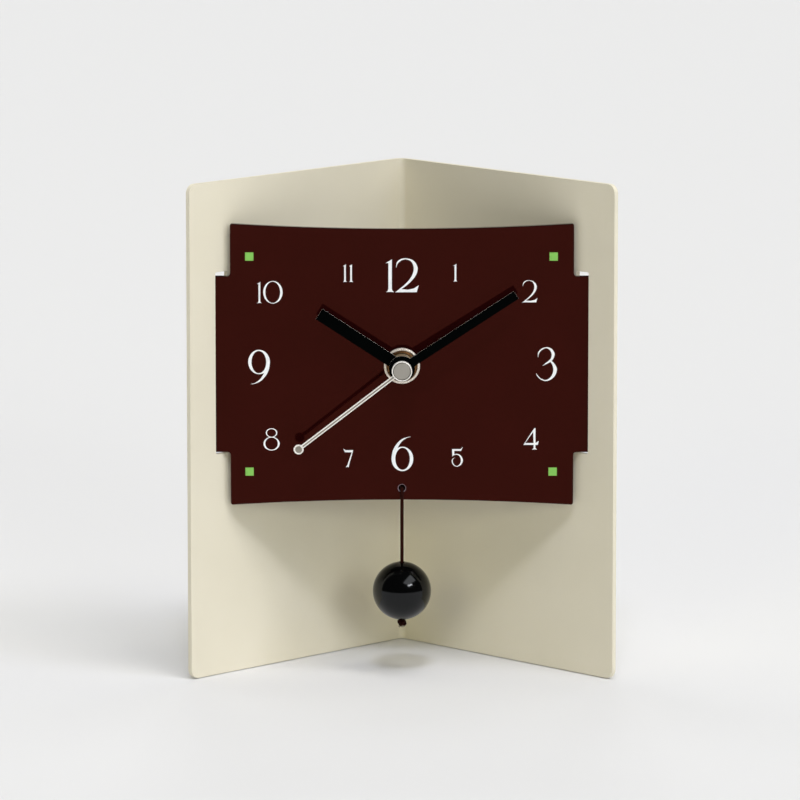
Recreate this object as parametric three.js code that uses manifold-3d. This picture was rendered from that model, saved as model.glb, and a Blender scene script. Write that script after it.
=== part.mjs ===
import * as THREE from 'three';
import { mergeVertices } from 'three/addons/utils/BufferGeometryUtils.js';
import Module from 'manifold-3d';

// A desk clock: a folded sheet stand, a flat dial held by two tabs, a quartz movement and a hanging ball.
// Millimetres, +X right, +Y back, +Z up. The origin is on the ground, in the middle of the clock's box.

const wasm = await Module();
wasm.setup();

// Stand
const STAND_HEIGHT = 160;
const FRONT_SPAN = 135; // between the inner front edges of the wings
const SHEET = 1.6;
const BEND_RADIUS = 2; // inside the fold
const STAND_CORNER = 3;

// Dial plate
const DIAL_HEIGHT_ABOVE_GROUND = 101; // of the shaft's axis
const DIAL_SETBACK = 9.2; // dial face behind the wings' front edges
const DIAL_THICKNESS = 2;
const DIAL_WIDTH = 109.9;
const DIAL_DROP = 0.2; // the outline's middle below the shaft's axis
const DIAL_END_HEIGHT = 91.15;
const DIAL_HOLLOW = 1.7; // how far the long edges are drawn in at their middle
const DIAL_CORNER = 0.8;
const TAB_DROP = 0.08; // the tabs' middle below the shaft's axis
const TAB_HEIGHT = 57;
const NOTCH_RADIUS = 1;
const SLOT_CORNER = 0.5;
const TAB_PAST_EDGE = 0.75; // how far a tab reaches past the edge of the slot that hides its end
const SLOT_PLAY = { front: 0.25, back: 0.75, under: 0.5, above: 1.4 }; // around a tab

// Fits
const FACE_GAP = 0.05; // between flat faces that rest on each other
const RUNNING_GAP = 0.2; // radial, between a tube or shaft and its hole
const LOOSE_GAP = 0.3;
const OVERCUT = 1; // how far a cutting shape reaches past the face it opens

// Fastening of the movement
const BUSHING_DIAMETER = 7.8;
const RUBBER_WASHER = { diameter: 14, thickness: 1 };
const METAL_WASHER = { diameter: 10.2, thickness: 0.4 };
const NUT = { diameter: 11.55, thickness: 3.5, body: 10.2, flange: 0.9, bevel: 0.3, dish: 9.7, dishDepth: 0.5 };
const BUSHING_PROUD = 0.3; // past the nut

// Hands: how far each stands in front of the dial face, and its size. Past its hub a hand leans towards the dial.
const HAND_SHEET = 0.4;
const HOUR_HAND = { front: 7, length: 31.5, width: 3.95, hub: 7, boss: 1.2, lean: 0.04, angle: 302.9 };
const MINUTE_HAND = { front: 9.7, length: 43.3, width: 2.9, hub: 8.3, boss: 1.2, lean: 0.076, angle: 57.3 };
const SECOND_HAND = { front: 13.8, length: 41.8, width: 1.1, tip: 3.2, lean: 0.05, angle: 232.05 };
const CAP = { front: 15, diameter: 6.6, rim: 0.45, dish: 0.2, socket: 2.4, socketDepth: 1.8 };

// Shaft and tubes
const SECOND_SHAFT = 1.1;
const MINUTE_TUBE = 3.1;
const HOUR_TUBE = 5;

// Movement case
const CASE_SIZE = 56;
const CASE_CORNER = 3;
const CASE_WALL = 1.2;
const BATTERY = { diameter: 14.2, length: 50.5, nub: 5.5, nubLength: 1, edge: 1, play: 0.4 };
const KNOB = { diameter: 10, thickness: 3, stem: 2.4, flutes: 20, fluteDepth: 0.35 };
const POST_RADIUS = 1.5;
const STUD_RADIUS = 0.75;

// Gear train, from the motor to the hands
const WHEEL_FACE = 0.8;
const LAYER_GAP = 0.8;
const PINION_EXTRA = 0.2; // a pinion is this much wider than its wheel, each side
const ARBOR = 0.8;
const ROTOR_MODULE = 0.2;
const TRAIN_MODULE = 0.25;
const ROTOR_TEETH = 12;
const INTERMEDIATE_TEETH = { wheel: 60, pinion: 10 };
const SECONDS_TEETH = { wheel: 60, pinion: 8 };
const THIRD_TEETH = { wheel: 60, pinion: 8 };
const CENTRE_TEETH = { wheel: 64, pinion: 12 };
const MINUTE_TEETH = { wheel: 36, pinion: 10 };
const HOUR_TEETH = 40;
const KNOB_TEETH = 12;
const MOTION_DISTANCE = 8; // from the shaft to the minute wheel's stud
const ADDENDUM = 0.8; // in modules
const DEDENDUM = 1.15;
const TOOTH_SHARE = 0.55; // width of a tooth at its root, of the tooth pitch

// Motor
const MAGNET = { diameter: 5, thickness: 2.1 };
const STATOR = { thickness: 0.8, bore: 6, rim: 1.2, footWidth: 11, arm: 2.6 };
const COIL = { length: 17, flange: 7, winding: 6.4, tube: 3.2, bore: 2.2, cheek: 0.8 };
const CORE = { length: 22.4, width: 1.4, thickness: 0.8 };

// Circuit board
const BOARD = { width: 9.6, height: 28, thickness: 1, layer: 10, rise: 4.6, postInset: 3, corner: 0.6 };
const CHIP = { side: 4.4, thickness: 0.9, rise: 17.4 };
const CRYSTAL = { diameter: 2, length: 6, bevel: 0.4, rise: 4 };

// Battery contacts
const CONTACT = 0.4;
const PAD = { front: 4, height: 8, dimple: 3.2 };
const TAIL = { depth: 1.4, rise: 1, foot: 3 };

// Pendulum
const CORD_DIAMETER = 1.15;
const CORD_HOLE_DIAMETER = 1.9;
const CORD_HOLE_RIM = 2.8; // across its bevelled rim
const CORD_HOLE_DROP = 40.3; // below the shaft's axis
const BALL_DIAMETER = 18.8;
const BALL_DROP = 33.3; // its centre below the hole
const BALL_BORE = 1.8;
const LOWER_KNOT = { diameter: 3.4, height: 2.7 };
const REAR_KNOT = { diameter: 3.6, depth: 2.6 };

// Facets
const ROUND = 24;
const SMALL_ROUND = 12;
const TINY_ROUND = 8;
const ARC_STEPS = 4;
const EDGE_STEPS = 14;

// Places worked out from the sizes above
const WING_DROP = FRONT_SPAN / 2; // front edges to the fold's sharp inner corner, for a right angle
const FOLD_DEPTH = WING_DROP - Math.SQRT2 * BEND_RADIUS + BEND_RADIUS + SHEET;
const CLOCK_DEPTH = CAP.front - DIAL_SETBACK + FOLD_DEPTH;
const FRONT_EDGE_Y = CAP.front - DIAL_SETBACK - CLOCK_DEPTH / 2;
const DIAL_FACE_Y = FRONT_EDGE_Y + DIAL_SETBACK;

// In the dial's own frame Y is 0 on the dial face and grows backwards
const DIAL_BACK = DIAL_THICKNESS;
const CASE_FRONT = DIAL_BACK + RUBBER_WASHER.thickness + 2 * FACE_GAP;
const BAY_HEIGHT = BATTERY.diameter + 2 * BATTERY.play;
const CASE_DEPTH = CASE_WALL + BATTERY.diameter + 1.5 * BATTERY.play;
const CASE_HALF = CASE_SIZE / 2;
const BAY_FLOOR = -CASE_HALF + CASE_WALL;
const BAY_TOP = BAY_FLOOR + BAY_HEIGHT;
const CHAMBER_BOTTOM = BAY_TOP + CASE_WALL;
const CHAMBER_TOP = CASE_HALF - CASE_WALL;
const COVER_THICKNESS = CASE_WALL;
const LAYER_STEP = WHEEL_FACE + LAYER_GAP;
const FIRST_LAYER = CASE_WALL + LAYER_GAP / 2;
const LAYER = {
  hour: FIRST_LAYER,
  motion: FIRST_LAYER + LAYER_STEP,
  centre: FIRST_LAYER + 2 * LAYER_STEP,
  third: FIRST_LAYER + 3 * LAYER_STEP,
  seconds: FIRST_LAYER + 4 * LAYER_STEP,
  intermediate: FIRST_LAYER + 5 * LAYER_STEP,
  bridge: FIRST_LAYER + 6 * LAYER_STEP,
};
const BRIDGE_BACK = LAYER.bridge + WHEEL_FACE;
const NUT_BACK = METAL_WASHER.thickness + 2 * FACE_GAP;
const NUT_FRONT = NUT_BACK + NUT.thickness;

// Wheel centres, seen from the front, around the shaft at 0, 0
const polar = (distance, degrees) => {
  const angle = THREE.MathUtils.degToRad(degrees);
  return new THREE.Vector2(distance * Math.cos(angle), distance * Math.sin(angle));
};
const distanceOf = (teethA, teethB, module) => (teethA + teethB) * module / 2;
const THIRD_DISTANCE = distanceOf(SECONDS_TEETH.pinion, THIRD_TEETH.wheel, TRAIN_MODULE);
const CENTRE_MODULE = 2 * THIRD_DISTANCE / (THIRD_TEETH.pinion + CENTRE_TEETH.wheel);
const MINUTE_MODULE = 2 * MOTION_DISTANCE / (CENTRE_TEETH.pinion + MINUTE_TEETH.wheel);
const HOUR_MODULE = 2 * MOTION_DISTANCE / (MINUTE_TEETH.pinion + HOUR_TEETH);
const DIRECTION = { third: 150, intermediate: 60, rotor: 70, minute: -20, knob: 20 };
const THIRD_AT = polar(THIRD_DISTANCE, DIRECTION.third);
const INTERMEDIATE_AT = polar(
  distanceOf(SECONDS_TEETH.wheel, INTERMEDIATE_TEETH.pinion, TRAIN_MODULE), DIRECTION.intermediate,
);
const ROTOR_AT = polar(
  distanceOf(INTERMEDIATE_TEETH.wheel, ROTOR_TEETH, ROTOR_MODULE), DIRECTION.rotor,
).add(INTERMEDIATE_AT);
const MINUTE_AT = polar(MOTION_DISTANCE, DIRECTION.minute);
const KNOB_AT = polar(
  distanceOf(MINUTE_TEETH.wheel, KNOB_TEETH, MINUTE_MODULE), DIRECTION.knob,
).add(MINUTE_AT);

// Posts of the case that carry the bridge, the board and the cover
const BRIDGE_POSTS = [[-13, -6], [14.5, 7.5], [-8, 16]];
const BOARD_EDGE = -CASE_HALF + CASE_WALL + 1; // the board's left edge
const BOARD_BOTTOM = CHAMBER_BOTTOM + BOARD.rise;
const BOARD_MIDDLE = BOARD_EDGE + BOARD.width / 2;
const COVER_POST_INSET = 3;
const COVER_POSTS = [
  [CASE_HALF - COVER_POST_INSET, CASE_HALF - COVER_POST_INSET],
  [CASE_HALF - COVER_POST_INSET, CHAMBER_BOTTOM + COVER_POST_INSET],
  [-CASE_HALF + COVER_POST_INSET, CASE_HALF - COVER_POST_INSET],
];

// Finishes
const finish = (color, roughness, metalness) => {
  return new THREE.MeshStandardMaterial({ color, roughness, metalness, flatShading: true });
};
const CREAM_PAINT = finish(0xdcd7c5, 0.6, 0);
const DIAL_GLOSS = finish(0x33120c, 0.12, 0);
const NICKEL = finish(0xb9b2a2, 0.3, 1);
const HAND_BLACK = finish(0x0a0b0b, 0.5, 0);
const SILVER = finish(0xb4b2ab, 0.3, 1);
const BALL_BLACK = finish(0x08090a, 0.08, 0);
const CORD_BROWN = finish(0x2c1712, 0.9, 0);
const RUBBER = finish(0x161616, 0.9, 0);
const CASE_BLACK = finish(0x191a1b, 0.6, 0);
const WHEEL_WHITE = finish(0xe4e2d8, 0.45, 0);
const WHEEL_AMBER = finish(0xb98a2e, 0.4, 0);
const STEEL = finish(0x8f9296, 0.35, 1);
const COPPER = finish(0xa65a2c, 0.35, 1);
const BOARD_TAN = finish(0x9a7b45, 0.6, 0);
const BATTERY_SLEEVE = finish(0x2f6d43, 0.35, 0.2);
const MAGNET_GREY = finish(0x54575a, 0.4, 0.8);

// Welds a geometry's shared vertices, drops flat triangles and turns its faces outwards
function weld(geometry) {
  const bare = geometry.clone();
  for (const name of Object.keys(bare.attributes)) {
    if (name !== 'position') {
      bare.deleteAttribute(name);
    }
  }
  const merged = mergeVertices(bare, 1e-4);
  const corner = [0, 1, 2].map(() => new THREE.Vector3());
  const kept = [];
  let volume = 0;
  for (let i = 0; i < merged.index.count; i += 3) {
    const ids = [0, 1, 2].map((j) => merged.index.getX(i + j));
    if (new Set(ids).size === 3) {
      kept.push(ids);
      ids.forEach((id, j) => corner[j].fromBufferAttribute(merged.attributes.position, id));
      volume += corner[0].dot(corner[1].cross(corner[2]));
    }
  }
  const facing = volume < 0 ? kept.map(([a, b, c]) => [a, c, b]) : kept;
  merged.setIndex(facing.flat());
  return merged;
}

function toSolid(geometry) {
  const welded = weld(geometry);
  return new wasm.Manifold(new wasm.Mesh({
    numProp: 3,
    vertProperties: Float32Array.from(welded.attributes.position.array),
    triVerts: Uint32Array.from(welded.index.array),
  }));
}

function toGeometry(solid) {
  const mesh = solid.getMesh();
  const geometry = new THREE.BufferGeometry();
  geometry.setAttribute('position', new THREE.BufferAttribute(mesh.vertProperties, 3));
  geometry.setIndex(new THREE.BufferAttribute(mesh.triVerts, 1));
  return geometry;
}

function join(...geometries) {
  return toGeometry(geometries.map(toSolid).reduce((whole, part) => whole.add(part)));
}

function cut(base, ...tools) {
  return toGeometry(tools.map(toSolid).reduce((rest, tool) => rest.subtract(tool), toSolid(base)));
}

// A flat piece that faces the viewer: its outline is drawn in X and Z, from front to front + thickness in Y
function plate(shape, front, thickness, curveSegments = ARC_STEPS) {
  const options = { depth: thickness, bevelEnabled: false, curveSegments };
  return new THREE.ExtrudeGeometry(shape, options)
    .rotateX(Math.PI / 2)
    .translate(0, front + thickness, 0);
}

// A turned piece about the Y axis: [radius, y] points, closed on themselves or on the axis
function turned(profile, segments = ROUND) {
  return new THREE.LatheGeometry(profile.map(([r, y]) => new THREE.Vector2(r, y)), segments);
}

function rod(radius, front, back, segments = SMALL_ROUND) {
  return turned([[0, front], [radius, front], [radius, back], [0, back]], segments);
}

function tube(outer, inner, front, back, segments = ROUND) {
  return turned([[inner, front], [outer, front], [outer, back], [inner, back], [inner, front]], segments);
}

function block([x0, x1], [y0, y1], [z0, z1]) {
  return new THREE.BoxGeometry(x1 - x0, y1 - y0, z1 - z0)
    .translate((x0 + x1) / 2, (y0 + y1) / 2, (z0 + z1) / 2);
}

function roundedRectangle(x0, x1, z0, z1, radius) {
  const shape = new THREE.Shape();
  shape.moveTo(x0 + radius, z0);
  shape.lineTo(x1 - radius, z0);
  shape.absarc(x1 - radius, z0 + radius, radius, -Math.PI / 2, 0);
  shape.lineTo(x1, z1 - radius);
  shape.absarc(x1 - radius, z1 - radius, radius, 0, Math.PI / 2);
  shape.lineTo(x0 + radius, z1);
  shape.absarc(x0 + radius, z1 - radius, radius, Math.PI / 2, Math.PI);
  shape.lineTo(x0, z0 + radius);
  shape.absarc(x0 + radius, z0 + radius, radius, Math.PI, 1.5 * Math.PI);
  return shape;
}

function circle(x, z, radius, segments = ROUND) {
  const points = [];
  for (let i = 0; i < segments; i += 1) {
    const angle = 2 * Math.PI * i / segments;
    points.push(new THREE.Vector2(x + radius * Math.cos(angle), z + radius * Math.sin(angle)));
  }
  return new THREE.Shape(points);
}

function mesh(name, geometry, material, at) {
  const piece = new THREE.Mesh(weld(geometry), material);
  piece.name = name;
  if (at) {
    piece.position.set(at.x, 0, at.y);
  }
  piece.geometry.computeVertexNormals();
  return piece;
}

// Stand

// The sheet's section in X and Y: two wings and a rounded fold
function standSection() {
  const half = WING_DROP;
  const apex = FRONT_EDGE_Y + WING_DROP;
  const bendCentre = apex - Math.SQRT2 * BEND_RADIUS;
  const edge = SHEET * Math.SQRT1_2; // how far a square cut edge steps back and outwards
  const shape = new THREE.Shape();
  shape.moveTo(-half - edge, FRONT_EDGE_Y + edge);
  shape.lineTo(-half, FRONT_EDGE_Y);
  shape.absarc(0, bendCentre, BEND_RADIUS, 0.75 * Math.PI, 0.25 * Math.PI, true);
  shape.lineTo(half, FRONT_EDGE_Y);
  shape.lineTo(half + edge, FRONT_EDGE_Y + edge);
  shape.absarc(0, bendCentre, BEND_RADIUS + SHEET, 0.25 * Math.PI, 0.75 * Math.PI, false);
  return shape;
}

// Turns a piece drawn on a wing, along it in X from its front edge and through it in Y, into its place
function ontoWing(geometry, side) {
  const placed = geometry.rotateZ(0.75 * Math.PI).translate(WING_DROP, FRONT_EDGE_Y, 0);
  return side > 0 ? placed : placed.scale(-1, 1, 1);
}

// The waste outside a rounded corner of a wing, through the sheet
function cornerWaste(atTop, side) {
  const r = STAND_CORNER;
  const shape = new THREE.Shape();
  shape.moveTo(-OVERCUT, -OVERCUT);
  shape.lineTo(r, -OVERCUT);
  shape.lineTo(r, 0);
  shape.absarc(r, r, r, 1.5 * Math.PI, Math.PI, true);
  shape.lineTo(-OVERCUT, r);
  const waste = plate(shape, -SHEET - OVERCUT, SHEET + 2 * OVERCUT);
  if (atTop) {
    waste.scale(1, 1, -1).translate(0, 0, STAND_HEIGHT);
  }
  return ontoWing(waste, side);
}

// From a wing's front edge to the near side of its slot
const SLOT_NEAR = Math.SQRT2 * DIAL_SETBACK - SHEET - SLOT_PLAY.front;

// The slot that a tab of the dial passes through
function tabSlot(side) {
  const far = Math.SQRT2 * (DIAL_SETBACK + DIAL_THICKNESS) + SLOT_PLAY.back;
  const middle = DIAL_HEIGHT_ABOVE_GROUND - TAB_DROP;
  const bottom = middle - TAB_HEIGHT / 2 - SLOT_PLAY.under;
  const top = middle + TAB_HEIGHT / 2 + SLOT_PLAY.above;
  const opening = roundedRectangle(SLOT_NEAR, far, bottom, top, SLOT_CORNER);
  return ontoWing(plate(opening, -SHEET - OVERCUT, SHEET + 2 * OVERCUT), side);
}

function stand() {
  const options = { depth: STAND_HEIGHT, bevelEnabled: false, curveSegments: 10 };
  const sheet = new THREE.ExtrudeGeometry(standSection(), options);
  const waste = [-1, 1].flatMap((side) => [cornerWaste(true, side), cornerWaste(false, side), tabSlot(side)]);
  return mesh('stand', cut(sheet, ...waste), CREAM_PAINT);
}

// Dial

// Rounds each corner of a closed outline given as [x, z, radius]
function roundedOutline(corners) {
  const shape = new THREE.Shape();
  corners.forEach(([x, z, radius], i) => {
    const here = new THREE.Vector2(x, z);
    const before = new THREE.Vector2(...corners[(i + corners.length - 1) % corners.length]);
    const after = new THREE.Vector2(...corners[(i + 1) % corners.length]);
    const start = here.clone().add(before.sub(here).setLength(radius));
    const end = here.clone().add(after.sub(here).setLength(radius));
    if (i === 0) {
      shape.moveTo(start.x, start.y);
    } else {
      shape.lineTo(start.x, start.y);
    }
    if (radius > 0) {
      shape.quadraticCurveTo(x, z, end.x, end.y);
    }
  });
  return shape;
}

// Points between the ends of a long edge, on the arc that hollows it
function hollowEdge(side) {
  const half = DIAL_WIDTH / 2;
  const radius = (half * half + DIAL_HOLLOW * DIAL_HOLLOW) / (2 * DIAL_HOLLOW);
  const points = [];
  for (let i = 1; i < EDGE_STEPS; i += 1) {
    const x = half * (2 * i / EDGE_STEPS - 1);
    const z = DIAL_END_HEIGHT / 2 - DIAL_HOLLOW + radius - Math.sqrt(radius * radius - x * x);
    points.push([-side * x, side * z - DIAL_DROP, 0]);
  }
  return points;
}

// The tabs end just past the slot's near edge, which hides their ends from the front
const TAB_REACH = WING_DROP - SLOT_NEAR * Math.SQRT1_2 + TAB_PAST_EDGE;

function dialOutline() {
  const half = DIAL_WIDTH / 2;
  const end = (side) => side * DIAL_END_HEIGHT / 2 - DIAL_DROP;
  const tab = (side) => side * TAB_HEIGHT / 2 - TAB_DROP;
  const corners = [];
  for (const side of [1, -1]) {
    corners.push(
      [side * TAB_REACH, tab(-side), DIAL_CORNER],
      [side * TAB_REACH, tab(side), DIAL_CORNER],
      [side * half, tab(side), NOTCH_RADIUS],
      [side * half, end(side), DIAL_CORNER],
      ...hollowEdge(side),
      [-side * half, end(side), DIAL_CORNER],
      [-side * half, tab(side), NOTCH_RADIUS],
    );
  }
  const outline = roundedOutline(corners);
  outline.holes.push(circle(0, 0, BUSHING_DIAMETER / 2 + RUNNING_GAP));
  outline.holes.push(circle(0, -CORD_HOLE_DROP, CORD_HOLE_DIAMETER / 2, SMALL_ROUND));
  return outline;
}

// The waste of the bevel round the cord's hole
function cordHoleBevel() {
  const hole = CORD_HOLE_DIAMETER / 2 - FACE_GAP;
  const rim = CORD_HOLE_RIM / 2;
  const profile = [[0, -OVERCUT], [rim + OVERCUT, -OVERCUT], [hole, rim - hole], [0, rim - hole]];
  return turned(profile, SMALL_ROUND).translate(0, 0, -CORD_HOLE_DROP);
}

function dialPlate() {
  return mesh('dial_plate', cut(plate(dialOutline(), 0, DIAL_THICKNESS), cordHoleBevel()), DIAL_GLOSS);
}

// Fastening

function rubberWasher() {
  const hole = BUSHING_DIAMETER / 2 + RUNNING_GAP;
  const front = DIAL_BACK + FACE_GAP;
  const ring = tube(RUBBER_WASHER.diameter / 2, hole, front, front + RUBBER_WASHER.thickness);
  return mesh('rubber_washer', ring, RUBBER);
}

function metalWasher() {
  const hole = BUSHING_DIAMETER / 2 + RUNNING_GAP;
  const back = -FACE_GAP;
  const ring = tube(METAL_WASHER.diameter / 2, hole, back - METAL_WASHER.thickness, back);
  return mesh('metal_washer', ring, NICKEL);
}

// A round nut: a narrower body, and a broad flange in front of it with a bevelled rim and a dished face
function fixingNut() {
  const hole = BUSHING_DIAMETER / 2 + RUNNING_GAP;
  const rim = NUT.diameter / 2;
  const underFlange = -NUT_FRONT + NUT.flange;
  const profile = [
    [hole, -NUT_FRONT + NUT.dishDepth],
    [NUT.dish / 2, -NUT_FRONT],
    [rim - NUT.bevel, -NUT_FRONT],
    [rim, -NUT_FRONT + NUT.bevel],
    [rim, underFlange],
    [NUT.body / 2, underFlange],
    [NUT.body / 2, -NUT_BACK],
    [hole, -NUT_BACK],
    [hole, -NUT_FRONT + NUT.dishDepth],
  ];
  return mesh('fixing_nut', turned(profile), NICKEL);
}

// Hands, each drawn pointing up and then turned clockwise to the time shown

function turnHand(geometry, degrees) {
  return geometry.rotateY(THREE.MathUtils.degToRad(degrees));
}

// Leans a piece of a hand towards the dial, from a distance above the shaft on
function lean(geometry, hand, from) {
  return geometry.applyMatrix4(new THREE.Matrix4().set(
    1, 0, 0, 0,
    0, 1, hand.lean, -hand.lean * from,
    0, 0, 1, 0,
    0, 0, 0, 1,
  ));
}

// A hand's bar, flat inside its hub's radius and leaning past it
function handBar(hand, hubRadius) {
  const across = [-hand.width / 2, hand.width / 2];
  const through = [-hand.front, -hand.front + HAND_SHEET];
  const root = block(across, through, [0, hubRadius]);
  return join(root, lean(block(across, through, [hubRadius, hand.length]), hand, hubRadius));
}

// A bar hand on a round hub, with a boss behind it that grips its tube
function barHand(name, hand, tubeDiameter) {
  const bore = tubeDiameter / 2 + FACE_GAP;
  const hub = rod(hand.hub / 2, -hand.front, -hand.front + HAND_SHEET, ROUND);
  const bossBack = -hand.front + HAND_SHEET + hand.boss;
  const boss = rod(bore + HAND_SHEET, -hand.front, bossBack, ROUND);
  const hole = rod(bore, -hand.front - OVERCUT, bossBack + OVERCUT, ROUND);
  const whole = cut(join(handBar(hand, hand.hub / 2), hub, boss), hole);
  return mesh(name, turnHand(whole, hand.angle), HAND_BLACK);
}

function secondHand() {
  const front = -SECOND_HAND.front;
  const capRadius = CAP.diameter / 2;
  const disc = plate(circle(0, SECOND_HAND.length, SECOND_HAND.tip / 2), front, HAND_SHEET);
  const hub = rod(capRadius - CAP.rim, front, front + HAND_SHEET, ROUND);
  const hole = rod(CAP.socket / 2 + FACE_GAP, front - OVERCUT, front + HAND_SHEET + OVERCUT, ROUND);
  const pieces = [handBar(SECOND_HAND, capRadius), lean(disc, SECOND_HAND, capRadius), hub];
  return mesh('second_hand', turnHand(cut(join(...pieces), hole), SECOND_HAND.angle), SILVER);
}

// The cap: a dished disc with a rim, and a socket behind it that grips the second hand's shaft
function secondHandCap() {
  const radius = CAP.diameter / 2;
  const back = -SECOND_HAND.front - FACE_GAP;
  const floor = -CAP.front + CAP.dish;
  const socketBack = -SECOND_HAND.front + CAP.socketDepth;
  const profile = [
    [0, floor],
    [radius - CAP.rim, floor],
    [radius - CAP.rim, -CAP.front],
    [radius, -CAP.front],
    [radius, back],
    [CAP.socket / 2, back],
    [CAP.socket / 2, socketBack],
    [SECOND_SHAFT / 2 + FACE_GAP, socketBack],
    [SECOND_SHAFT / 2 + FACE_GAP, back],
    [0, back],
  ];
  return mesh('second_hand_cap', turned(profile), SILVER);
}

// Movement case

const caseY = (depth) => CASE_FRONT + depth;
const inCase = (shape, from, to) => plate(shape, caseY(from), to - from);

function casePost([x, z], height) {
  return rod(POST_RADIUS, caseY(CASE_WALL / 2), caseY(height), TINY_ROUND).translate(x, 0, z);
}

// Windows in the wall above the battery, where the contacts' tails pass
const TAIL_LAYER = [BRIDGE_BACK + LOOSE_GAP, BRIDGE_BACK + LOOSE_GAP + TAIL.depth];
const TAIL_WINDOW = [TAIL_LAYER[0] - LOOSE_GAP, CASE_DEPTH + OVERCUT];
const POSITIVE_X = CASE_HALF - CASE_WALL - LOOSE_GAP - CONTACT;
const NEGATIVE_X = -CASE_HALF + CASE_WALL + LOOSE_GAP;

function tailWindow(x) {
  const sides = [x - LOOSE_GAP, x + CONTACT + LOOSE_GAP];
  return block(sides, TAIL_WINDOW.map(caseY), [BAY_TOP - OVERCUT, CHAMBER_BOTTOM + OVERCUT]);
}

function movementCase() {
  const inner = CASE_HALF - CASE_WALL;
  const box = roundedRectangle(-CASE_HALF, CASE_HALF, -CASE_HALF, CASE_HALF, CASE_CORNER);
  const chamber = roundedRectangle(-inner, inner, CHAMBER_BOTTOM, CHAMBER_TOP, CASE_CORNER - CASE_WALL);
  const bay = roundedRectangle(-inner, inner, BAY_FLOOR, BAY_TOP, CASE_CORNER - CASE_WALL);
  const shell = cut(
    inCase(box, 0, CASE_DEPTH),
    inCase(chamber, CASE_WALL, CASE_DEPTH + OVERCUT),
    inCase(bay, CASE_WALL, CASE_DEPTH + OVERCUT),
    tailWindow(POSITIVE_X),
    tailWindow(NEGATIVE_X),
  );
  const bushing = rod(BUSHING_DIAMETER / 2, -NUT_FRONT - BUSHING_PROUD, caseY(CASE_WALL / 2), ROUND);
  const boardPosts = [BOARD.postInset, BOARD.height - BOARD.postInset]
    .map((rise) => [BOARD_MIDDLE, BOARD_BOTTOM + rise]);
  const posts = [
    ...BRIDGE_POSTS.map((at) => casePost(at, LAYER.bridge - FACE_GAP)),
    ...boardPosts.map((at) => casePost(at, BOARD.layer - FACE_GAP)),
    ...COVER_POSTS.map((at) => casePost(at, CASE_DEPTH - COVER_THICKNESS - FACE_GAP)),
  ];
  const studEnd = LAYER.motion + WHEEL_FACE + PINION_EXTRA;
  const stud = rod(STUD_RADIUS, caseY(CASE_WALL / 2), caseY(studEnd), TINY_ROUND)
    .translate(MINUTE_AT.x, 0, MINUTE_AT.y);
  const boreFront = -NUT_FRONT - BUSHING_PROUD - OVERCUT;
  const bore = rod(HOUR_TUBE / 2 + RUNNING_GAP, boreFront, caseY(CASE_WALL + OVERCUT), ROUND);
  const pivots = [THIRD_AT, INTERMEDIATE_AT, ROTOR_AT].map((at) => {
    const hole = rod(ARBOR / 2 + RUNNING_GAP, caseY(CASE_WALL / 2), caseY(CASE_WALL + OVERCUT), TINY_ROUND);
    return hole.translate(at.x, 0, at.y);
  });
  return mesh('movement_case', cut(join(shell, bushing, stud, ...posts), bore, ...pivots), CASE_BLACK);
}

// The cover closes the wheel chamber from behind, inside the case's walls
function movementCover() {
  const inner = CASE_HALF - CASE_WALL - FACE_GAP;
  const corner = CASE_CORNER - CASE_WALL;
  const outline = roundedRectangle(
    -inner, inner, CHAMBER_BOTTOM + FACE_GAP, CHAMBER_TOP - FACE_GAP, corner,
  );
  outline.holes.push(circle(KNOB_AT.x, KNOB_AT.y, KNOB.stem / 2 + RUNNING_GAP, SMALL_ROUND));
  const cover = inCase(outline, CASE_DEPTH - COVER_THICKNESS, CASE_DEPTH);
  return mesh('movement_cover', cover, CASE_BLACK);
}

// The bridge reaches over its posts and the rotor
const BRIDGE_CORNER = 2;
const BRIDGE_OUTLINE = [
  [-15.4, -8.4], [2, -5.4], [16.8, 5], [16.8, 10], [10.6, 17.8], [-10.6, 17.8], [-15.4, 2],
];

function trainBridge() {
  const outline = roundedOutline(BRIDGE_OUTLINE.map(([x, z]) => [x, z, BRIDGE_CORNER]));
  for (const at of [new THREE.Vector2(0, 0), THIRD_AT, INTERMEDIATE_AT, ROTOR_AT]) {
    outline.holes.push(circle(at.x, at.y, ARBOR / 2 + RUNNING_GAP, TINY_ROUND));
  }
  return mesh('train_bridge', inCase(outline, LAYER.bridge, BRIDGE_BACK), WHEEL_WHITE);
}

// Battery and contacts

const BATTERY_Z = (BAY_FLOOR + BAY_TOP) / 2;
const BATTERY_DEPTH = CASE_WALL + BATTERY.play + BATTERY.diameter / 2;

function battery() {
  const body = BATTERY.length - BATTERY.nubLength;
  const radius = BATTERY.diameter / 2;
  const start = -BATTERY.length / 2;
  const profile = [
    [0, start],
    [radius - BATTERY.edge, start],
    [radius, start + BATTERY.edge],
    [radius, start + body - BATTERY.edge],
    [radius - BATTERY.edge, start + body],
    [BATTERY.nub / 2, start + body],
    [BATTERY.nub / 2, start + BATTERY.length],
    [0, start + BATTERY.length],
  ];
  const cell = turned(profile, ROUND).rotateZ(-Math.PI / 2).translate(0, caseY(BATTERY_DEPTH), BATTERY_Z);
  return mesh('battery', cell, BATTERY_SLEEVE);
}

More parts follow.
